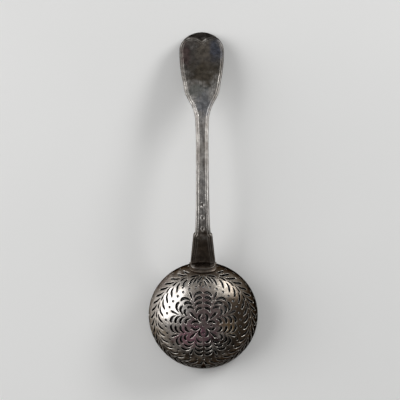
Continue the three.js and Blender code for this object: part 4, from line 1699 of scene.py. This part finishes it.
@dataclass(frozen=True)
class WornSilver:
    """Old silver: a bright ground, a dull film in clouds and streaks, patches of tarnish and of painted
    highlight and shade, grime and fine wear.
    """

    name: str
    bright: Triple
    film: Triple
    oxide: Triple
    film_span: Pair
    streak: Triple
    streak_strength: float
    patches: tuple[Patch, ...]
    gloss: Pair
    edge_tint: float = 0.12
    streak_span: Pair = (0.48, 0.68)
    mottle: float = 0.16
    mottle_span: Pair = (0.36, 0.64)
    speck: float = 0.45
    speck_span: Pair = (0.64, 0.74)
    dent_depth: float = 0.10
    scratch: float = 0.35
    scratch_depth: float = 0.012
    scratch_turns: Pair = (0.35, -1.1)
    grain: float = 0.35
    grain_depth: float = 0.008
    grime_dulling: float = 0.3
    seed: float = 0.0

    def ground(self, bench: NodeBench) -> tuple[Socket, Socket]:
        """Lays out the film, the streaks, the patches and the mottling.

        Args:
            bench: The material's bench.

        Returns:
            The colour before grime, and the cloud that the film follows.
        """
        shifted = bench.scaled(bench.place, (1, 1, 1), shift=(self.seed, self.seed * 0.7, 0))
        wide = bench.noise(scale=0.075, detail=5, vector=shifted, warp=0.6)
        fine = bench.noise(scale=0.55, detail=4, vector=shifted)
        cloud = bench.sum("ADD", bench.sum("MULTIPLY", wide, 0.72), bench.sum("MULTIPLY", fine, 0.28))
        film = bench.between(cloud, *self.film_span)
        colour = bench.blend(film, self.bright, self.film)
        drawn = bench.scaled(bench.place, (1.7, 0.07, 0.3), shift=(self.seed, 0, 0))
        lines = bench.noise(scale=1.0, detail=4, vector=drawn)
        streaked = bench.between(lines, *self.streak_span, (0.0, self.streak_strength))
        colour = bench.blend(streaked, colour, self.streak)
        rag = bench.noise(scale=0.22, detail=5, vector=shifted, warp=0.4)
        for patch in self.patches:
            colour = bench.blend(patch.share(bench, rag), colour, patch.colour)
        mottled = bench.noise(scale=0.42, detail=5, vector=shifted, warp=0.3)
        mottled = bench.between(mottled, *self.mottle_span, (1 - self.mottle, 1 + self.mottle))
        colour = bench.scaled_colour(colour, mottled)
        specks = bench.noise(scale=1.3, detail=3, vector=shifted)
        specks = bench.between(specks, *self.speck_span, (0.0, self.speck))
        return bench.blend(specks, colour, self.oxide), cloud

    def wear(self, bench: NodeBench) -> Socket:
        """Lays out soft dents, hairline scratches in two directions and a fine grain.

        Args:
            bench: The material's bench.

        Returns:
            The normal.
        """
        normal = bench.bump(bench.noise(scale=0.16, detail=1.5), self.dent_depth, 0.6)
        for turn, strength in zip(self.scratch_turns, (self.scratch, self.scratch * 0.7)):
            drawn = bench.scaled(bench.scaled(bench.place, (1, 1, 1), turn), (5.0, 0.25, 1.2))
            lines = bench.between(bench.noise(scale=1.0, detail=2, vector=drawn), 0.58, 0.72)
            normal = bench.bump(lines, self.scratch_depth, strength, normal)
        return bench.bump(bench.noise(scale=6.0, detail=3), self.grain_depth, self.grain, normal)

    def roughness(self, bench: NodeBench, cloud: Socket, grime: Socket) -> Socket:
        """Lays out the gloss, duller where the film and the grime lie.

        Args:
            bench: The material's bench.
            cloud: The cloud that the film follows.
            grime: How much grime lies at each place.

        Returns:
            The roughness.
        """
        base = bench.between(cloud, 0.36, 0.64, self.gloss)
        smudge = bench.between(bench.noise(scale=0.9, detail=4), 0.35, 0.7, (-0.04, 0.07))
        dull = bench.sum("MULTIPLY", grime, self.grime_dulling)
        return bench.sum("ADD", bench.sum("ADD", base, smudge), dull)

    def finish(
        self, bench: NodeBench, colour: Socket, roughness: Socket, normal: Socket
    ) -> bpy.types.Material:
        """Joins what was laid out to the shader.

        Args:
            bench: The material's bench.
            colour: The colour.
            roughness: The roughness.
            normal: The normal.

        Returns:
            The material.
        """
        shader = bench.shader
        shader.inputs["Metallic"].default_value = 1.0
        shader.inputs["Specular Tint"].default_value = (self.edge_tint, self.edge_tint, self.edge_tint, 1)
        for name, socket in (("Base Color", colour), ("Roughness", roughness), ("Normal", normal)):
            bench.tree.links.new(socket, shader.inputs[name])
        bench.material.diffuse_color = (*self.bright, 1)
        return bench.material


@dataclass(frozen=True)
class BowlSilver(WornSilver):
    """Silver of the pierced bowl: near-black walls in the cuts, partly oxide and partly painted shade,
    bright rims round them, partly rubbed silver and partly painted highlight, and an inside darkened as
    painted shade.

    The spans on the stored depths and sides say where the rims, the walls and the inside start. Painted
    shade also darkens the back towards its lip.
    """

    # Painted shade: the inner skin, under the bowl, is darkened.
    inside: Triple = (0.075, 0.063, 0.052)
    inside_sides: Pair = (0.6, 0.9)
    # Near black for the cuts' walls: oxide, and painted shade that keeps the cuts dark.
    cut_wall_oxide_and_shade: Triple = (0.006, 0.005, 0.0045)
    wall_depths: Pair = (0.13, 0.27)
    wall_sides: Pair = (0.75, 0.55)
    # Bright rims round the cuts: partly rubbed silver, partly painted highlight.
    rim_wear_and_highlight: Triple = (0.80, 0.76, 0.70)
    edge_depths: Pair = (0.01, 0.05)
    edge_end_depths: Pair = (0.2, 0.12)
    # Painted shade: the back darkens towards its lip, less on the left side.
    painted_rim_shade: Triple = (0.064, 0.046, 0.032)
    rim_shade_span: Pair = (0.70, 0.98)
    rim_shade_lean: Triple = (0.0098, 0.0, 0.0)
    film_strength: float = 0.85

    def material(self) -> bpy.types.Material:
        """Lays out the material.

        Returns:
            The material.
        """
        bench = NodeBench(self.name)
        colour, cloud = self.ground(bench)
        covered = (0.0, self.film_strength)
        # Painted shade towards the lip, broken up by the cloud and lighter to the left.
        ragged = bench.sum("SUBTRACT", cloud, 0.5)
        ragged = bench.sum("MULTIPLY_ADD", ragged, 0.5, bench.stored("rim_share"))
        ragged = bench.sum("ADD", ragged, bench.along(self.rim_shade_lean))
        colour = bench.blend(bench.between(ragged, *self.rim_shade_span, covered), colour, self.painted_rim_shade)
        skin = bench.stored("skin_side")
        # Painted shade darkens the inner skin.
        colour = bench.blend(bench.between(skin, *self.inside_sides, covered), colour, self.inside)
        depth = bench.stored("cut_depth")
        # Bright rims round the cuts, partly rubbed silver and partly painted highlight, broken up by a
        # noise.
        rim = bench.between(depth, *self.edge_depths)
        rim = bench.sum("MULTIPLY", rim, bench.between(depth, *self.edge_end_depths))
        worn = bench.between(bench.noise(scale=0.3, detail=3), 0.35, 0.6, (0.4, 0.95))
        colour = bench.blend(bench.sum("MULTIPLY", rim, worn), colour, self.rim_wear_and_highlight)
        # The cuts' walls turn near black and not metallic: oxide and painted shade.
        wall = bench.between(depth, *self.wall_depths)
        wall = bench.sum("MULTIPLY", wall, bench.between(skin, *self.wall_sides))
        colour = bench.blend(wall, colour, self.cut_wall_oxide_and_shade)
        bench.tree.links.new(bench.sum("SUBTRACT", 1.0, wall), bench.shader.inputs["Metallic"])
        shine = bench.sum("MULTIPLY", bench.sum("SUBTRACT", 1.0, wall), 0.5)
        bench.tree.links.new(shine, bench.shader.inputs["Specular IOR Level"])
        return self.finish(bench, colour, self.roughness(bench, cloud, wall), self.wear(bench))


@dataclass(frozen=True)
class HandleSilver(WornSilver):
    """Silver of the handle, with grime along its threads, whose rubbed brightness is turned down over the
    blade as painted shade.

    blade_span is where along Y the rubbed brightness fades, to a share of blade_rubbed, as painted shade.
    """

    grime: Triple = (0.041, 0.034, 0.028)
    grime_strength: float = 0.85
    rubbed: Triple = (0.52, 0.495, 0.46)
    rubbed_dulling: float = 0.18
    blade_span: Pair = (50.0, 76.0)
    blade_rubbed: float = 0.32

    def material(self) -> bpy.types.Material:
        """Lays out the material.

        Returns:
            The material.
        """
        bench = NodeBench(self.name)
        colour, cloud = self.ground(bench)
        lodged = bench.between(bench.stored("grime"), 0.15, 0.95)
        kept = bench.between(bench.noise(scale=0.16, detail=3), 0.3, 0.62, (0.55, 1.0))
        lodged = bench.sum("MULTIPLY", lodged, kept)
        colour = bench.blend(bench.sum("MULTIPLY", lodged, self.grime_strength), colour, self.grime)
        rubbed = bench.between(bench.noise(scale=0.12, detail=3), 0.3, 0.65, (0.35, 0.65))
        # Painted shade: the rubbed brightness fades over the blade.
        blade_shading = bench.between(bench.along((0.0, 1.0, 0.0)), *self.blade_span, (1.0, self.blade_rubbed))
        rubbed = bench.sum("MULTIPLY", rubbed, blade_shading)
        polish = bench.stored("polish")
        colour = bench.blend(bench.sum("MULTIPLY", polish, rubbed), colour, self.rubbed)
        roughness = self.roughness(bench, cloud, lodged)
        roughness = bench.sum("MULTIPLY_ADD", polish, self.rubbed_dulling, roughness)
        return self.finish(bench, colour, roughness, self.wear(bench))


@dataclass(frozen=True)
class PlateSilver(WornSilver):
    """Silver of the drop plate, with oxide lodged in clouds."""

    oxide_strength: float = 0.6

    def material(self) -> bpy.types.Material:
        """Lays out the material.

        Returns:
            The material.
        """
        bench = NodeBench(self.name)
        colour, cloud = self.ground(bench)
        lodged = bench.between(bench.noise(scale=0.4, detail=4), 0.55, 0.75)
        colour = bench.blend(bench.sum("MULTIPLY", lodged, self.oxide_strength), colour, self.oxide)
        return self.finish(bench, colour, self.roughness(bench, cloud, lodged), self.wear(bench))


OXIDE = (0.018, 0.014, 0.012)

BOWL_FINISH = BowlSilver(
    name="bowl silver",
    bright=(0.53, 0.485, 0.435),
    film=(0.29, 0.235, 0.18),
    oxide=OXIDE,
    film_span=(0.40, 0.62),
    streak=(0.30, 0.245, 0.19),
    streak_strength=0.0,
    patches=(
        Patch((2, -69, 24), (18, 17, 16), (0.21, 0.137, 0.145), 0.87),
        Patch((2, -82, 18), (13, 9, 14), (0.20, 0.09, 0.14), 0.85),
        Patch((-7.5, -81, 20), (11, 10, 14), (0.47, 0.22, 0.29), 0.85),
        # Painted shade at the bottom.
        Patch((2, -91.5, 14), (15, 4.5, 16), (0.05, 0.043, 0.042), 0.85),
        # Painted shade: the next three darken the right side and the lower right.
        Patch((19, -62, 18), (15, 13, 20), (0.088, 0.066, 0.047), 0.88),
        Patch((25, -78, 14), (18, 22, 20), (0.064, 0.045, 0.03), 0.9),
        Patch((16, -90, 14), (22, 12, 22), (0.046, 0.034, 0.026), 0.9),
        Patch((14.5, -75, 16), (7.5, 7, 16), (0.42, 0.275, 0.125), 0.78),
        # Painted shade: the next three darken the lower left, the bottom and the top by the handle.
        Patch((-20, -90, 8), (16, 12, 18), (0.085, 0.062, 0.044), 0.82),
        Patch((2, -98, 10), (34, 18, 24), (0.042, 0.031, 0.023), 0.93),
        Patch((0, -43, 18), (30, 7.5, 16), (0.092, 0.067, 0.048), 0.9),
        # Painted highlights: the next three brighten the back where the left and the right lamp shine on
        # it.
        Patch((-27, -66, 14), (8, 12, 20), (0.62, 0.565, 0.515), 0.8),
        Patch((-17, -62, 24), (11, 14, 20), (0.62, 0.60, 0.575), 0.85),
        Patch((15.5, -51, 24), (12.5, 8, 20), (0.95, 0.87, 0.76), 0.92),
        Patch((-25, -49, 14), (8, 8, 18), (0.33, 0.275, 0.25), 0.85),
    ),
    gloss=(0.22, 0.38),
    edge_tint=0.07,
)

# The plate's colours are dark all over: partly tarnish, partly painted shade at the dark join of the handle
# and the bowl.
PLATE_FINISH = PlateSilver(
    name="drop plate silver",
    bright=(0.26, 0.22, 0.185),
    film=(0.12, 0.095, 0.076),
    oxide=OXIDE,
    film_span=(0.36, 0.6),
    streak=(0.09, 0.067, 0.052),
    streak_strength=0.3,
    patches=(),
    gloss=(0.3, 0.45),
    seed=31.0,
)

HANDLE_FINISH = HandleSilver(
    name="handle silver",
    bright=(0.54, 0.52, 0.495),
    film=(0.33, 0.305, 0.28),
    oxide=OXIDE,
    film_span=(0.42, 0.64),
    streak=(0.12, 0.098, 0.09),
    streak_strength=0.75,
    patches=(
        # Partly tarnish, partly painted shade: the next two darken the root and the shank by the bowl.
        Patch((0, -34, 24), (14, 17, 26), (0.078, 0.058, 0.043), 0.95),
        Patch((0, -26, 26), (10, 7.5, 20), (0.078, 0.058, 0.043), 0.92),
        # Painted shade: the next two darken the blade, which tips away towards its end.
        Patch((0, 86, 12), (28, 22, 22), (0.092, 0.082, 0.073), 0.93),
        Patch((1, 76, 12), (11, 9, 20), (0.108, 0.09, 0.067), 0.85),
        Patch((2, 91, 10), (6.5, 7, 20), (0.165, 0.142, 0.117), 0.75),
        Patch((8.5, 91, 10), (4.5, 8, 20), (0.095, 0.11, 0.155), 0.65),
        Patch((-9.5, 88, 10), (3.5, 8, 20), (0.12, 0.076, 0.075), 0.65),
        Patch((-3, 65.5, 14), (8, 5, 20), (0.215, 0.222, 0.207), 0.7),
        Patch((1, 58, 20), (5, 9, 20), (0.225, 0.24, 0.27), 0.7),
        # Painted shade at the blade's tip, where it curls down.
        Patch((0, 101.5, 4), (15, 4.5, 14), (0.028, 0.024, 0.021), 0.95),
    ),
    gloss=(0.24, 0.38),
    mottle=0.26,
    dent_depth=0.03,
    scratch=0.10,
    grain=0.08,
    seed=17.0,
)


@dataclass(frozen=True)
class Lamp:
    """A soft rectangular lamp: its name, its place and size in metres, and its power in watts."""

    name: str
    place: Triple
    size: Pair
    power: float


@dataclass
class Studio:
    """A plain pale floor, a plain graded world, soft lamps and the camera straight above.

    The floor, the lamps and their aim are in metres. The world's levels go with the height of the
    direction looked in, and the far side's with how far it looks along Y.
    """

    floor_size: float = 8.0
    floor_colour: Triple = (0.92, 0.92, 0.91)
    floor_shade: float = 0.97
    floor_roughness: float = 0.9
    floor_specular: float = 0.2
    world_span: Pair = (0.1, 0.8)
    world_levels: Pair = (0.41, 0.30)
    far_span: Pair = (-0.7, 0.5)
    far_levels: Pair = (0.62, 1.0)
    lamps: tuple[Lamp, ...] = (
        Lamp("left lamp", (-1.07, 0.18, 0.64), (1.2, 1.1), 10.9),
        Lamp("right lamp", (0.82, 0.60, 0.50), (0.54, 0.25), 5.9),
    )
    aim: Triple = (0.0, -0.03, 0.0)
    camera_place: Triple = (-1.54, -0.244, 900.0)
    camera_turn: float = -0.352
    lens: float = 131.7
    sensor_width: float = 36.0

    def lay_floor(self) -> None:
        """Lays the floor and paints it."""
        deselect_all()
        bpy.ops.mesh.primitive_plane_add(size=self.floor_size, location=(0, 0, 0))
        floor = bpy.context.active_object
        floor.name = "floor"
        bench = NodeBench("floor paint")
        shade = bench.between(bench.noise(scale=0.004, detail=3), 0.3, 0.7)
        darker = tuple(c * self.floor_shade for c in self.floor_colour)
        paint = bench.blend(shade, darker, self.floor_colour)
        bench.tree.links.new(paint, bench.shader.inputs["Base Color"])
        bench.shader.inputs["Roughness"].default_value = self.floor_roughness
        bench.shader.inputs["Specular IOR Level"].default_value = self.floor_specular
        floor.data.materials.append(bench.material)

    def hang_lamps(self) -> None:
        """Hangs the lamps and points them at the spoon."""
        for lamp in self.lamps:
            deselect_all()
            bpy.ops.object.light_add(type="AREA", location=lamp.place)
            hung = bpy.context.active_object
            hung.name = lamp.name
            hung.data.shape = "RECTANGLE"
            hung.data.size, hung.data.size_y = lamp.size
            hung.data.energy = lamp.power
            towards = Vector(self.aim) - Vector(lamp.place)
            hung.rotation_euler = towards.to_track_quat("-Z", "Y").to_euler()

    def set_world(self) -> None:
        """Sets a plain world that is pale at the horizon and darker overhead."""
        world = bpy.data.worlds.new("plain studio")
        bpy.context.scene.world = world
        world.use_nodes = True
        tree = world.node_tree
        place = tree.nodes.new("ShaderNodeTexCoord")
        parts = tree.nodes.new("ShaderNodeSeparateXYZ")
        tree.links.new(place.outputs["Generated"], parts.inputs["Vector"])
        levels = []
        height = (*self.world_span, *self.world_levels)
        for axis, spans in (("Z", height), ("Y", (*self.far_span, *self.far_levels))):
            level = tree.nodes.new("ShaderNodeMapRange")
            level.interpolation_type = "SMOOTHSTEP"
            for name, number in zip(("From Min", "From Max", "To Min", "To Max"), spans):
                level.inputs[name].default_value = number
            tree.links.new(parts.outputs[axis], level.inputs["Value"])
            levels.append(level.outputs["Result"])
        both = tree.nodes.new("ShaderNodeMath")
        both.operation = "MULTIPLY"
        for socket, value in zip(both.inputs, levels):
            tree.links.new(value, socket)
        tree.links.new(both.outputs["Value"], tree.nodes["Background"].inputs["Strength"])
        tree.nodes["Background"].inputs["Color"].default_value = (1, 1, 1, 1)

    def hang_camera(self) -> None:
        """Hangs the camera over the spoon, as the photograph was taken."""
        deselect_all()
        place = tuple(c * MM for c in self.camera_place)
        bpy.ops.object.camera_add(location=place, rotation=(0, 0, math.radians(self.camera_turn)))
        camera = bpy.context.active_object
        camera.name = "camera"
        camera.data.lens = self.lens
        camera.data.sensor_width = self.sensor_width
        bpy.context.scene.camera = camera

    def build(self) -> None:
        """Builds the studio."""
        self.lay_floor()
        self.hang_lamps()
        self.set_world()
        self.hang_camera()
        bpy.context.scene.view_settings.view_transform = "Standard"
        LOG.info("studio ready")


@dataclass
class SifterSpoon:
    """The whole spoon: bowl, drop plate and handle, each with its finish."""

    shape: BowlShape = field(default_factory=BowlShape)

    def build(self) -> None:
        """Builds and dresses each piece, and says which CAD node it stands for."""
        pieces = (
            (PiercedBowl(self.shape), BOWL_FINISH, "bowl", "bowl_silver"),
            (DropPlate(self.shape), PLATE_FINISH, "drop_plate", "plate_silver"),
            (ThreadedHandle(self.shape), HANDLE_FINISH, "handle", "handle_silver"),
        )
        for maker, finish, node, slot in pieces:
            piece = maker.build()
            piece.data.materials.append(finish.material())
            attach(piece, "root")
            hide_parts(node)
            LOG.info("%s stands for %s", piece.name, node)


def main() -> None:
    """Builds, dresses and lights the spoon."""
    logging.basicConfig(level=logging.INFO, format="%(message)s")
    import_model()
    SifterSpoon().build()
    Studio().build()
    LOG.info("spoon done")


if __name__ == "__main__":
    main()
